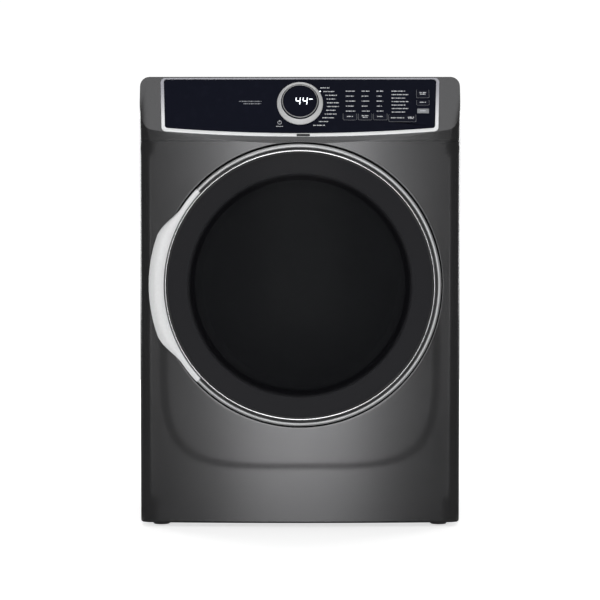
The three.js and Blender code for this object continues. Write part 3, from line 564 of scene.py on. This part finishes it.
def cut(piece, low, high):
    """Cuts a box out of a piece."""
    bm = bmesh.new()
    add_box(bm, low, high)
    mesh = bpy.data.meshes.new("cutter")
    bm.to_mesh(mesh)
    bm.free()
    cutter = bpy.data.objects.new("cutter", mesh)
    bpy.context.scene.collection.objects.link(cutter)
    modifier = piece.modifiers.new("notch", "BOOLEAN")
    modifier.operation = "DIFFERENCE"
    modifier.object = cutter
    modifier.solver = "EXACT"
    view = bpy.context.evaluated_depsgraph_get()
    piece.data = bpy.data.meshes.new_from_object(piece.evaluated_get(view))
    piece.modifiers.clear()
    bpy.data.objects.remove(cutter)
    return piece


def bar_group(name, boxes, material, body="cabinet", placement=FACE):
    """Thin printed marks: boxes of (left, right, low, high, front, back) in millimetres."""
    bm = bmesh.new()
    for left, right, low, high, front, back in boxes:
        add_box(bm, (left * MM, front * MM, low * MM), (right * MM, back * MM, high * MM))
    bmesh.ops.transform(bm, matrix=placement, verts=bm.verts)
    return settle(name, bm, body, material, outward=False)


# ---------------------------------------------------------------- camera, lights and floor
FRAME_WIDTH = 1.28
SENSOR = 36
FLOOR_RADIUS = 3.2


def make_camera():
    distance = 5.0
    target = Vector((0, FRONT, 0.4884))
    pitch = math.radians(3.2)
    eye = target + distance * Vector((0, -math.cos(pitch), math.sin(pitch)))
    data = bpy.data.cameras.new("camera")
    data.sensor_width = SENSOR
    data.lens = SENSOR * distance / FRAME_WIDTH
    camera = bpy.data.objects.new("camera", data)
    camera.location = eye
    camera.rotation_euler = (target - eye).to_track_quat("-Z", "Y").to_euler()
    bpy.context.scene.collection.objects.link(camera)
    bpy.context.scene.camera = camera


def soft_light(name, place, aim, width, height, power, mirrored=True):
    """A rectangular lamp. One that isn't mirrored lights the pieces but doesn't show in them."""
    data = bpy.data.lights.new(name, "AREA")
    data.shape = "RECTANGLE"
    data.size = width
    data.size_y = height
    data.energy = power
    light = bpy.data.objects.new(name, data)
    light.location = place
    light.rotation_euler = (Vector(aim) - Vector(place)).to_track_quat("-Z", "Y").to_euler()
    light.visible_glossy = mirrored
    bpy.context.scene.collection.objects.link(light)


def make_stage():
    world = bpy.data.worlds.new("studio")
    world.use_nodes = True
    tree = world.node_tree
    background = tree.nodes["Background"]
    path = tree.nodes.new("ShaderNodeLightPath")
    strength = tree.nodes.new("ShaderNodeMapRange")
    strength.inputs["To Min"].default_value = 0.09
    strength.inputs["To Max"].default_value = 1.05
    tree.links.new(path.outputs["Is Camera Ray"], strength.inputs["Value"])
    tree.links.new(strength.outputs[0], background.inputs["Strength"])
    background.inputs["Color"].default_value = rgb(1, 1, 1)
    bpy.context.scene.world = world
    bpy.context.scene.view_settings.view_transform = "Standard"
    bm = bmesh.new()
    bmesh.ops.create_circle(bm, cap_ends=True, segments=96, radius=FLOOR_RADIUS)
    mesh = bpy.data.meshes.new("floor")
    bm.to_mesh(mesh)
    bm.free()
    s = Shader("pale_floor")
    mesh.materials.append(s.finish(
        Base_Color=s.mix(s.noise(3, 2.0), rgb(0.92, 0.92, 0.92), rgb(0.95, 0.95, 0.95)),
        Roughness=0.9,
        Specular_IOR_Level=0.1,
        Emission_Color=rgb(1, 1, 1),
        Emission_Strength=0.6,
    ))
    floor = bpy.data.objects.new("floor", mesh)
    bpy.context.scene.collection.objects.link(floor)
    floor.visible_glossy = False
    soft_light("front_box", (0.0, -6.2, 0.85), (0, 0, 0.6), 1.25, 3.3, 48)
    soft_light("top_box", (0, 0.2, 3.2), (0, 0, 0.5), 2.8, 1.8, 20)
    soft_light("left_box", (-3.2, 2.9, 1.4), (0, 0, 0.4), 1.8, 2.4, 60)
    soft_light("right_box", (3.2, 2.9, 1.4), (0, 0, 0.4), 1.8, 2.4, 60)
    soft_light("front_fill", (0, -5.0, 2.2), (0, 0, 0.5), 4.0, 3.0, 95, False)
    soft_light("high_front_box", (0, -3.4, 3.9), (0, FRONT, 0.9), 3.0, 2.0, 17)
    soft_light("rear_box", (0, 4.2, 2.0), (0, 0, 0.4), 2.6, 2.2, 90)


# ---------------------------------------------------------------- front panel
FLAT_HALF = HALF_WIDTH - CORNER
ARC_LENGTH = CORNER * math.pi / 2
PLAN_HALF = FLAT_HALF + ARC_LENGTH + (WRAP_END - FRONT - BOW - CORNER)


def plan_point(along):
    """The front surface in plan, at a distance along it from the middle."""
    side = math.copysign(1, along)
    past = abs(along) - FLAT_HALF
    if past <= 0:
        return along, FRONT + BOW * (along / FLAT_HALF) ** 2
    if past <= ARC_LENGTH:
        turn = past / CORNER
        across = FLAT_HALF + CORNER * math.sin(turn)
        return side * across, FRONT + BOW + CORNER * (1 - math.cos(turn))
    return side * HALF_WIDTH, FRONT + BOW + CORNER + past - ARC_LENGTH


def smooth_step(value):
    value = min(1, max(0, value))
    return value * value * (3 - 2 * value)


def crease(across, height):
    """How far the field below the door falls back from the raised field round it."""
    rise = max(0, (CREASE_TOP - height) / CREASE_DEPTH)
    reach = (abs(across) / CREASE_HALF) ** CREASE_POWER + rise ** CREASE_POWER
    fade = 1 - smooth_step((height - CREASE_TOP) / (90 * MM))
    return CREASE_STEP * fade * smooth_step((reach ** (1 / CREASE_POWER) - 0.965) / 0.07)


def surface_point(along, height, depth=0):
    x, y = plan_point(along)
    level = max(y, FRONT + (height - LEAN_FOOT) * math.tan(LEAN))
    edge = smooth_step((PLAN_HALF - abs(along)) / (60 * MM))
    return Vector((x, level + depth + crease(along, height) * edge, height))


def make_front_panel():
    steps = 288
    rings = 64
    turns = [math.tau * i / steps for i in range(steps)]
    limits = (PLAN_HALF, PANEL_TOP - DOOR_Z, DOOR_Z - PANEL_BOTTOM)
    for corner in [(sx * limits[0], sz) for sx in (-1, 1) for sz in (limits[1], -limits[2])]:
        exact = math.atan2(corner[1], corner[0]) % math.tau
        nearest = min(range(steps), key=lambda i: abs(turns[i] - exact))
        turns[nearest] = exact
    lip_radius = POCKET_RADIUS + LIP

    def border(turn):
        across = limits[0] / max(1e-6, abs(math.cos(turn)))
        up = limits[1] if math.sin(turn) > 0 else limits[2]
        return min(across, up / max(1e-6, abs(math.sin(turn))))

    def ring_points(share):
        found = []
        for turn in turns:
            radius = lip_radius + (border(turn) - lip_radius) * share
            found.append(surface_point(radius * math.cos(turn), DOOR_Z + radius * math.sin(turn)))
        return found

    def pocket_points(radius, depth, absolute):
        found = []
        for turn in turns:
            point = surface_point(radius * math.cos(turn), DOOR_Z + radius * math.sin(turn), depth)
            if absolute:
                point.y = FRONT + depth
            found.append(point)
        return found

    loops = [ring_points(1 - i / rings) for i in range(rings + 1)]
    for i in range(1, 7):
        turn = math.pi / 2 * i / 6
        loops.append(pocket_points(
            lip_radius - LIP * math.sin(turn), LIP * (1 - math.cos(turn)), False))
    floor_turn = 2 * MM
    loops.append(pocket_points(POCKET_RADIUS, POCKET_DEPTH - floor_turn, True))
    for radius, depth in curve_arc(
            POCKET_RADIUS - floor_turn, POCKET_DEPTH - floor_turn, floor_turn, 0, 90, 4)[1:]:
        loops.append(pocket_points(radius, depth, True))
    roll = 3 * MM
    for radius in (280 * MM, 250 * MM, 235 * MM, OPENING_RADIUS + roll):
        loops.append(pocket_points(radius, POCKET_DEPTH, True))
    for radius, depth in curve_arc(
            OPENING_RADIUS + roll, POCKET_DEPTH + roll, roll, 270, 180, 4)[1:]:
        loops.append(pocket_points(radius, depth, True))
    bm = bmesh.new()
    loft(bm, loops)
    face_forward(bm)
    panel = settle("front_panel_skin", bm, "cabinet", FRONT_PAINT,
                   ("front_panel",), 40, outward=False)
    wall = panel.modifiers.new("sheet", "SOLIDIFY")
    wall.thickness = SHEET
    wall.offset = -1
    return panel


# ---------------------------------------------------------------- door
DOOR_CENTRE = (0, FRONT, DOOR_Z)


def door_spun(name, points, material, stands_for=(), steps=192, sharp=32):
    profile = [(r * MM, y * MM) for r, y in points]
    return spun(name, profile, DOOR_CENTRE, "door", material, stands_for, steps, sharp)


def hinge_notch(piece, from_x, face):
    """Clears the space that the door's hinge turns in."""
    return cut(
        piece,
        (from_x, FRONT + face * MM, DOOR_Z - 50 * MM),
        (DOOR_RADIUS + 6 * MM, FRONT + 30 * MM, DOOR_Z + 50 * MM),
    )


def make_door_ring():
    outer = DOOR_RADIUS / MM
    ring = door_spun("door_ring_skin", closed([
        (288.4, -12.5), (288.4, -13.6), (292.9, -13.6), (293.1, -15.4),
        *curve_arc(294.6, -15.6, 1.4, 180, 270, 5),
        *curve_arc(outer - 3.2, -13.8, 3.2, 270, 360, 10),
        *curve_arc(outer - 0.5, 9.5, 0.5, 0, 90, 3),
        (outer - 1.7, 10), (outer - 1.7, -12.5),
    ]), SATIN, ("door_ring",), 256)
    hinge_notch(ring, PIVOT.x - 45 * MM, -10.8)
    # A dark rubber band in the ring's groove stands in for the groove's shade: painted shade
    door_spun("door_ring_groove_shade", closed([
        (288.5, -13.7), (288.5, -14.5), (292.8, -14.5), (292.8, -13.7),
    ]), RUBBER, (), 256)
    door_spun("door_glass_rim", closed([
        (283.8, -12.6), (283.8, -17.4), *curve_arc(286, -17.6, 2.0, 180, 360, 12),
        (288.1, -14.4), (288.1, -12.6),
    ]), CHROME, (), 256)


GRIP_HALF_ANGLE = 19
SHOULDER_ANGLE = 14.5
HANDLE_HALF_ANGLE = 43
GRIP_REACH = 20.5


def handle_outer(turn):
    """The handle's outer radius in millimetres, turn degrees from its middle."""
    fade = smooth_step((abs(turn) - GRIP_HALF_ANGLE) / SHOULDER_ANGLE)
    return DOOR_RADIUS / MM + GRIP_REACH * (1 - fade) + 0.3


def make_door_handle():
    half = HANDLE_HALF_ANGLE
    steps = 128
    rows = []
    for i in range(steps + 1):
        turn = -half + 2 * half * i / steps
        outer = handle_outer(turn)
        lip = smooth_step((outer - 302) / 5)
        inner_lip = min(301.6, outer - 0.5)
        back = -17.7 + 8.5 * lip
        taper = smooth_step((half - abs(turn)) / 9)
        crown = 0.7 * (outer - 289) / 32
        face = -20.4 - 1.4 * taper
        round_off = 1.0 + 1.6 * lip
        section = [
            (289.3, -17.7),
            (289.3, face + 1.2),
            (289.7, face + 0.4),
            (290.6, face),
            ((290.6 + outer) / 2, face - crown * 0.7),
            (outer - round_off, face - crown * 0.3),
            (outer - round_off * 0.3, face + round_off * 0.35),
            (outer, face + round_off),
            (outer, back - 0.8 * lip),
            (outer - 0.8, back),
            (inner_lip, back),
            (inner_lip, -17.7),
        ]
        angle = math.radians(180 + turn)
        rows.append([Vector((
            r * MM * math.cos(angle), FRONT + y * MM, DOOR_Z + r * MM * math.sin(angle),
        )) for r, y in section])
    bm = bmesh.new()
    loft(bm, rows)
    cap_ends(bm)
    settle("door_handle_skin", bm, "door", HANDLE_SATIN, ("door_handle",), 50)


def make_door_glass():
    radius = GLASS_RADIUS / MM
    edge, apex, wall = -17.0, -DOME / MM, 4.0
    steps = 28
    face = [(radius * i / steps, apex + (edge - apex) * (i / steps) ** 2) for i in range(steps + 1)]
    face[-1] = (radius - 0.3, face[-1][1] - 0.1)
    back = [(r, y + wall) for r, y in reversed(face)]
    profile = [*face, (radius, edge + 0.8), *back]
    door_spun("outer_glass_skin", profile, GLASS, ("outer_glass",))


def make_glass_gasket():
    edge = GLASS_RADIUS / MM
    door_spun("glass_gasket", closed([
        (edge - 2.4, -16.9), (edge - 2.3, -17.9), (edge - 1.6, -18.3), (edge - 0.2, -18.2),
        (edge, -17.5), (edge, -16.9),
    ]), RUBBER, (), 192)


def make_door_inside():
    frame_piece = door_spun("door_frame_skin", closed([
        (225, -12.2), (297, -12.2), (297, 13.2), (296.5, 13.7), (294.5, 13.7), (294.5, -9.7),
        (227.5, -9.7), (227.5, 13.7), (225, 13.7),
    ]), DARK_MOULDED, ("door_frame",))
    hinge_notch(frame_piece, PIVOT.x - 43 * MM, -9.7)
    hinge_notch(frame_piece, PIVOT.x - 7.2 * MM, -18.2)
    liner = door_spun("door_liner_skin", closed([
        (209, 14.5), *curve_arc(209.5, 15.5, 0.5, 180, 90, 3), (242, 16), (244, 15.4), (282, 15.4),
        (284, 16), *curve_arc(296.4, 15.4, 0.6, 90, 0, 3), (297, 14), (209, 14),
    ]), GREY_MOULDED, ("door_liner",))
    hinge_notch(liner, PIVOT.x - 43 * MM, 0)
    door_spun("window_bowl_skin", [
        (0, 25), (150, 25), *curve_arc(172, 13, 12, 90, 60, 5), (190, 22), (203, 17.6),
        (207, 14), (207, 13.7), (224.4, 13.7), (224.4, 9.7), (203, 9.7), (187, 18),
        (170, 21), (0, 21),
    ], BOWL, ("window_bowl",), 160, 25)
    door_spun("door_seal_skin", closed([
        (222, 16.3), (238, 16.3), *curve_arc(236, 17.7, 2.0, 0, 90, 4), (232, 18.2), (230, 19.7),
        *curve_arc(224, 17.7, 2.0, 90, 180, 4),
    ]), RUBBER, ("door_seal",))


# ---------------------------------------------------------------- console
def face_front(node):
    """How far in the front of a CAD node lies from the face plane, in millimetres."""
    piece = frame["nodes"][node]
    back = FACE.inverted() @ piece.matrix_world
    return min((back @ v.co).y for v in piece.data.vertices) / MM


FASCIA_FACE = face_front("fascia")
KEY_FACE = face_front("key_start")
PRINT_PROUD = 0.08
PRINT_SUNK = 0.02


def make_dial():
    base, top, tall = 49.0, 38.5, 16.0

    def on_face(name, points, body, material, stands_for=(), sharp=32):
        bm = bmesh.new()
        spin_profile(bm, [(r * MM, y * MM) for r, y in points], (0, 0, 0), 160)
        bmesh.ops.transform(
            bm, matrix=FACE @ Matrix.Translation((0, 0, DIAL_RISE)), verts=bm.verts)
        return settle(name, bm, body, material, stands_for, sharp)

    on_face("dial_ring", closed([
        (40.2, -0.5), (base - 0.6, -0.5), *curve_arc(base - 1.2, -1.7, 1.2, 90, 0, 3),
        (base, -2.6), *curve_arc(base - 1.4, -3.4, 1.4, 360, 300, 4),
        (42.0, -12.2), (41.2, -12.7), (40.5, -12.3), (40.2, -11.5),
    ]), "dial", HANDLE_SATIN, ("dial",))
    on_face("dial_band", closed([
        (top, 6), (top, -11.4), (40.1, -11.5), (40.1, -12.9), (39.3, -13.3),
        (39.1, -14.4), (38.2, -14.8), (36.3, -14.6), (36.3, 6),
    ]), "dial", BLACK_GLOSS, ())
    on_face("dial_bezel", closed([
        (36.4, -14.7), (38.3, -14.8), *curve_arc(37.5, -15.2, 0.8, 0, -90, 4), (37.1, -tall),
        *curve_arc(37.0, -15.4, 0.6, 270, 180, 3),
    ]), "dial", SATIN, ())
    on_face("display_lens_skin", [
        (0, -15.4), (24, -15.25), (34.6, -15.0), *curve_arc(35.0, -14.2, 0.8, 270, 360, 3),
        (35.8, -12.2), (30, -12.0), (30, 7.7), (0, 7.7),
    ], "cabinet", BLACK_GLOSS, ("display_lens",))


SEGMENTS = {
    "top": (0, 1, True), "middle": (0, 0, True), "bottom": (0, -1, True),
    "upper_left": (-1, 0.5, False), "upper_right": (1, 0.5, False),
    "lower_left": (-1, -0.5, False), "lower_right": (1, -0.5, False),
}


def digit_boxes(x, z, names, front, back):
    """The lit bars of a seven-segment digit."""
    half_wide, half_tall, stroke = 4.3, 8.6, 1.6
    found = []
    for across, up, flat in (SEGMENTS[n] for n in names):
        cx, cz = x + across * half_wide, z + up * half_tall
        wide, tall = (half_wide - 0.8, stroke / 2) if flat else (stroke / 2, half_tall / 2 - 0.8)
        found.append((cx - wide, cx + wide, cz - tall, cz + tall, front, back))
    return found


def word_boxes(left, width, z, seed, face=FASCIA_FACE):
    """A line of lettering too small to read, as short bars of uneven length."""
    found = []
    x = left
    step = seed
    while x < left + width:
        step += 1
        long = min(1.6 + (step * 37 % 10) * 0.22, left + width - x)
        tall = 0.75 + 0.35 * (step % 2)
        found.append((x, x + long, z - tall, z + tall, face - PRINT_PROUD, face + PRINT_SUNK))
        x += long + 0.55 + (step * 13 % 4 == 0) * 1.2
    return found


def make_legends():
    four = ("upper_left", "upper_right", "middle", "lower_right")
    lens_front, lens_back = -15.75, -15.2
    boxes = digit_boxes(-5.0, 8.0, four, lens_front, lens_back)
    boxes += digit_boxes(10.0, 8.0, four, lens_front, lens_back)
    boxes += [(18.4, 25.4, 11.4, 13.0, lens_front, lens_back)]
    slant = Matrix.Identity(4)
    slant[0][2] = 0.09
    bar_group("display_digits", boxes, DIGITS, placement=FACE @ slant)
    front, back = FASCIA_FACE - PRINT_PROUD, FASCIA_FACE + PRINT_SUNK
    marks = []
    cycle_top, cycle_pitch, cycle_radius, dial_rise = 45.5, 8.7, 56, 8
    for i in range(11):
        z = cycle_top - cycle_pitch * i
        left = 2 + math.sqrt(cycle_radius ** 2 - (z - dial_rise) ** 2)
        marks += word_boxes(left, 25 if i % 3 else 20, z, i)
    column_top, level_pitch, option_pitch = 37.8, 11.6, 8.1
    for x, width in ((98, 20), (132, 17), (164, 14)):
        for i in range(5):
            marks += word_boxes(x, width - 3 * (i % 2), column_top - level_pitch * i, i + width)
    for i in range(7):
        marks += word_boxes(196, 36 if i % 2 else 29, column_top - option_pitch * i, i + 4)
    marks += [(-51, -36, -44.4, -43.4, front, back)]
    for key, lines in CAPTIONS.items():
        boxes = []
        for x, width, z in lines:
            boxes += word_boxes(x, width, z, width, KEY_FACE)
        bar_group(f"{key}_caption", boxes, PRINT, key)
    bar_group("legend_bars", marks, PRINT)
    lines = word_boxes(-130, 47, 14, 3) + word_boxes(-121, 38, 8.5, 5)
    bar_group("plain_lines", lines, PRINT_DIM)
    bar_group("status_light", [(42, 44.4, 36, 38.4, front - 0.2, back)], DIGITS)


def outline(bm, left, right, low, high, corner=2.0, width=0.45):
    """A thin rounded frame printed on the fascia, in millimetres."""
    def loop(inset, depth):
        r = corner - inset
        spots = ((right, high, 0), (left, high, 90), (left, low, 180), (right, low, 270))
        points = []
        for x, z, start in spots:
            cx = x - corner if x == right else x + corner
            cz = z - corner if z == high else z + corner
            points += curve_arc(cx, cz, r, start, start + 90, 4)
        return [FACE @ Vector((x * MM, depth * MM, z * MM)) for x, z in points]

    front, back = FASCIA_FACE - PRINT_PROUD, FASCIA_FACE + PRINT_SUNK
    rows = [loop(0, back), loop(0, front), loop(width, front), loop(width, back)]
    loft(bm, closed(rows))


def make_key_outlines():
    bm = bmesh.new()
    for node in KEYS:
        if node in ("key_power", "key_start"):
            continue
        low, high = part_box(node)
        middle = FACE.inverted() @ ((low + high) / 2)
        tall = KEY_HEIGHTS[node] / 2 + 0.6
        z = middle.z / MM
        outline(bm, low.x / MM - 0.1, high.x / MM + 0.1, z - tall, z + tall)
    settle("key_outlines", bm, "cabinet", PRINT_DIM)


def make_power_icon():
    bm = bmesh.new()
    face = KEY_FACE
    spin_profile(bm, [(r * MM, y * MM) for r, y in closed(
        [(3.6, face), (3.6, face - 0.1), (4.3, face - 0.1), (4.3, face)])], (0, 0, 0), 40)
    add_box(bm, (-0.4 * MM, (face - 0.14) * MM, 1.0 * MM), (0.4 * MM, face * MM, 5.2 * MM))
    low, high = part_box("key_power")
    middle = FACE.inverted() @ ((low + high) / 2)
    bmesh.ops.transform(
        bm, matrix=FACE @ Matrix.Translation((middle.x, 0, middle.z)), verts=bm.verts)
    settle("key_power_icon", bm, "key_power", PRINT, outward=False)


CAPTIONS = {
    "key_temperature": ((100, 13, -21.4),),
    "key_dryness": ((132, 14, -19.6), (134, 10, -23.2)),
    "key_time": ((165, 12, -21.4),),
    "key_options": ((194, 28, -24.6), (230, 13, -23.2), (231, 11, -26)),
    "key_extra": ((256, 14, 34), (257, 12, 30.4)),
    "key_cancel": ((256, 13, 11.6),),
    "key_start": ((257, 12, -8.3),),
}
KEY_HEIGHTS = {
    "key_power": 12, "key_temperature": 14, "key_dryness": 14, "key_time": 14,
    "key_options": 15.6, "key_extra": 18, "key_cancel": 11.3, "key_start": 10.4,
}


# ---------------------------------------------------------------- drum
def make_drum():
    low, high = drum_low.y, drum_high.y
    radius = DRUM_RADIUS
    wall = SHEET
    outer = [(radius - 8 * MM, low), (radius - 1 * MM, low), (radius, low + 1 * MM)]
    inner = [(radius - wall, low + wall * 1.5)]
    for share in (0.12, 0.5, 0.88):
        y = low + (high - low) * share
        for step, lift in ((-9, 0), (-4, 2.2), (4, 2.2), (9, 0)):
            outer.append((radius - lift * 0.3 * MM, y + step * MM))
            inner.append((radius - wall - lift * MM, y + step * MM))
    outer += [(radius, high - 1 * MM), (radius - 1 * MM, high), (radius - 8 * MM, high)]
    inner.append((radius - wall, high - wall * 1.5))
    back = [(radius - 8 * MM, high - wall), (radius - wall - 1 * MM, high - wall)]
    front = [(radius - wall - 1 * MM, low + wall), (radius - 8 * MM, low + wall)]
    loop = closed([*outer, *back, *reversed(inner), *front])
    spun("drum_skin", loop, (0, 0, DOOR_Z), "drum", DRUM_STEEL, ("drum",), 192, 40)


# ---------------------------------------------------------------- fixings and rear details
def add_screw(bm, place, head=4.0, washer=6.0, tall=2.2, facing=1):
    """A hexagon screw on a washer, standing out along +Y (facing 1) or -Y (facing -1)."""
    turn = Matrix.Rotation(math.radians(-90 * facing), 4, "X")
    for radius, thick, sides in ((washer, 0.7, 24), (head, tall, 6)):
        middle = Vector(place) + Vector((0, facing * thick / 2 * MM, 0))
        bmesh.ops.create_cone(
            bm,
            cap_ends=True,
            segments=sides,
            radius1=radius * MM,
            radius2=radius * 0.94 * MM,
            depth=thick * MM,
            matrix=Matrix.Translation(middle) @ turn,
        )


def make_rear_details():
    back = rear_high.y
    edge = rear_high.x - 12 * MM
    low, high = rear_low.z + 30 * MM, rear_high.z - 14 * MM
    bm = bmesh.new()
    for i in range(6):
        z = low + (high - low) * i / 5
        for x in (-edge, edge):
            add_screw(bm, (x, back, z))
    for x in (-0.22, -0.11, 0, 0.11, 0.22):
        add_screw(bm, (x, back, high))
    settle("rear_screws", bm, "cabinet", ZINC, outward=False)

    columns = (-0.16, 0.16)
    louvres = [(x, high - (60 + 16 * i) * MM) for x in columns for i in range(9)]
    bm = bmesh.new()
    for x, z in louvres:
        half = 45 * MM
        add_box(bm, (x - half, back - 0.2 * MM, z), (x + half, back + 3.2 * MM, z + 7 * MM))
    bevel_edges(bm, sharp_edges(bm), 1.6 * MM, 4)
    settle("rear_louvres", bm, "cabinet", ZINC, outward=False)

    # Dark strips below the louvres stand in for the shade inside their openings: painted shade
    bm = bmesh.new()
    for x, z in louvres:
        half = 42 * MM
        add_box(bm, (x - half, back + 0.1 * MM, z - 1.6 * MM), (x + half, back + 0.5 * MM, z))
    settle("rear_louvre_slot_shade", bm, "cabinet", DARK_MOULDED, outward=False)

    bm = bmesh.new()
    beads = (
        (-0.25, 0.25, high - 0.235), (-0.25, 0.25, high - 0.335),
        (-0.25, 0.25, high - 0.435), (-0.25, 0.13, high - 0.535),
    )
    for left, right, z in beads:
        add_box(bm, (left, back - 0.5 * MM, z - 7 * MM), (right, back + 1.6 * MM, z + 7 * MM))
    bevel_edges(bm, sharp_edges(bm), 2.0 * MM, 5)
    settle("rear_beads", bm, "cabinet", ZINC, outward=False)


def make_fixings():
    bm = bmesh.new()
    for i in range(8):
        angle = math.radians(22.5 + 45 * i)
        x, z = 0.262 * math.cos(angle), DOOR_Z + 0.262 * math.sin(angle)
        add_screw(bm, (x, FRONT + 15.3 * MM, z), 3.2, 4.6, 1.8)
    settle("liner_screws", bm, "door", ZINC, outward=False)
    bm = bmesh.new()
    for rise in (-36, -18, 18, 36):
        add_screw(bm, (0.2675, FRONT + 17.7 * MM, DOOR_Z + rise * MM), 3.0, 4.2, 1.5, -1)
    settle("hinge_screws", bm, "cabinet", ZINC, outward=False)


def make_moisture_bars():
    """Two steel strips below the opening, on the drum side of the front bulkhead."""
    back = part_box("front_bulkhead")[1].y
    bm = bmesh.new()
    for rise in (-230, -248):
        z = DOOR_Z + rise * MM
        add_box(bm, (-65 * MM, back - 0.3 * MM, z - 3 * MM), (65 * MM, back + 3 * MM, z + 3 * MM))
    bevel_edges(bm, sharp_edges(bm), 1.2 * MM, 4)
    settle("moisture_bars", bm, "cabinet", DRUM_STEEL, outward=False)


def make_trim_bead():
    """The rounded lower edge of the trim, which catches the light; its near-white, barely metallic
    colour is a painted highlight.
    """
    half, bow, low = 284.0, 12.0, -56.0
    steps = 60
    rows = []
    for i in range(steps + 1):
        x = -half + 2 * half * i / steps
        z = low - bow * (1 - (x / 295) ** 2) + 3.9
        section = curve_arc(-1.3, 0, 1.0, 90, 270, 8)
        rows.append([FACE @ Vector((x * MM, y * MM, (z + 3.3 * up) * MM)) for y, up in section])
    bm = bmesh.new()
    loft(bm, rows)
    cap_ends(bm)
    settle("trim_bead", bm, "cabinet", BEAD_SILVER_PAINTED_HIGHLIGHT, (), 40)


def make_trim_notch():
    bm = bmesh.new()
    add_box(bm, (-7 * MM, -2.6 * MM, -67.4 * MM), (21 * MM, -1.0 * MM, -62.6 * MM))
    bmesh.ops.transform(bm, matrix=FACE, verts=bm.verts)
    settle("trim_notch", bm, "cabinet", DARK_MOULDED, outward=False)


# ---------------------------------------------------------------- everything else
SKINS = {
    "console_shell": (FRONT_PAINT, "front_paint"),
    "top_panel": (BODY_PAINT, "body_paint"),
    "side_panel_left": (BODY_PAINT, "body_paint"),
    "side_panel_right": (BODY_PAINT, "body_paint"),
    "console_trim": (TRIM_SILVER, "satin_silver"),
    "fascia": (BLACK_GLOSS, "gloss_black"),
    "rear_panel": (ZINC, "galvanised"),
    "base_pan": (ZINC, "galvanised"),
    "exhaust_pipe": (ZINC, "galvanised"),
    "terminal_cover": (ZINC, "galvanised"),
    "terminal_block": (WHITE_MOULDED, "moulded_white"),
    "hinge_bracket": (ZINC, "galvanised"),
    "hinge_leaf": (ZINC, "galvanised"),
    "door_strike": (ZINC, "galvanised"),
    "door_catch": (DARK_MOULDED, "moulded_black"),
    "baffle_1": (GREY_MOULDED, "moulded_grey"),
    "baffle_2": (GREY_MOULDED, "moulded_grey"),
    "baffle_3": (GREY_MOULDED, "moulded_grey"),
    "lint_filter": (WHITE_MOULDED, "moulded_white"),
}
FEET = [n for n in frame["nodes"] if n.startswith("foot_")]
KEYS = [n for n in frame["nodes"] if n.startswith("key_")]
PLAIN = {
    "galvanised": ZINC, "stainless": DRUM_STEEL, "chrome": CHROME, "satin_silver": SATIN,
    "gloss_black": BLACK_GLOSS, "moulded_black": DARK_MOULDED, "moulded_grey": GREY_MOULDED,
    "moulded_white": WHITE_MOULDED, "rubber": RUBBER, "felt": FELT, "board": BOARD,
    "door_glass": GLASS, "bowl_glass": BOWL, "front_paint": FRONT_PAINT, "body_paint": BODY_PAINT,
    "motor_black": ENAMEL,
}


def dress_nodes():
    """Gives every CAD node the finish that its slot names."""
    for part in frame["record"]["subparts"]:
        node = frame["nodes"][part["node"]]
        node.data.materials.clear()
        node.data.materials.append(PLAIN[part["material_slot"]])


make_camera()
make_stage()
dress_nodes()
make_front_panel()
make_door_ring()
make_door_handle()
make_door_glass()
make_glass_gasket()
make_door_inside()
make_dial()
make_legends()
make_key_outlines()
make_power_icon()
make_drum()
make_rear_details()
make_fixings()
make_moisture_bars()
make_trim_bead()
make_trim_notch()
for node, (material, slot) in SKINS.items():
    finished_copy(node, material)
for node in FEET:
    finished_copy(node, RUBBER, 0.8 * MM, 3)
for node in KEYS:
    finished_copy(node, KEY_GREY if node == "key_start" else KEY_BLACK, 0.4 * MM, 3)
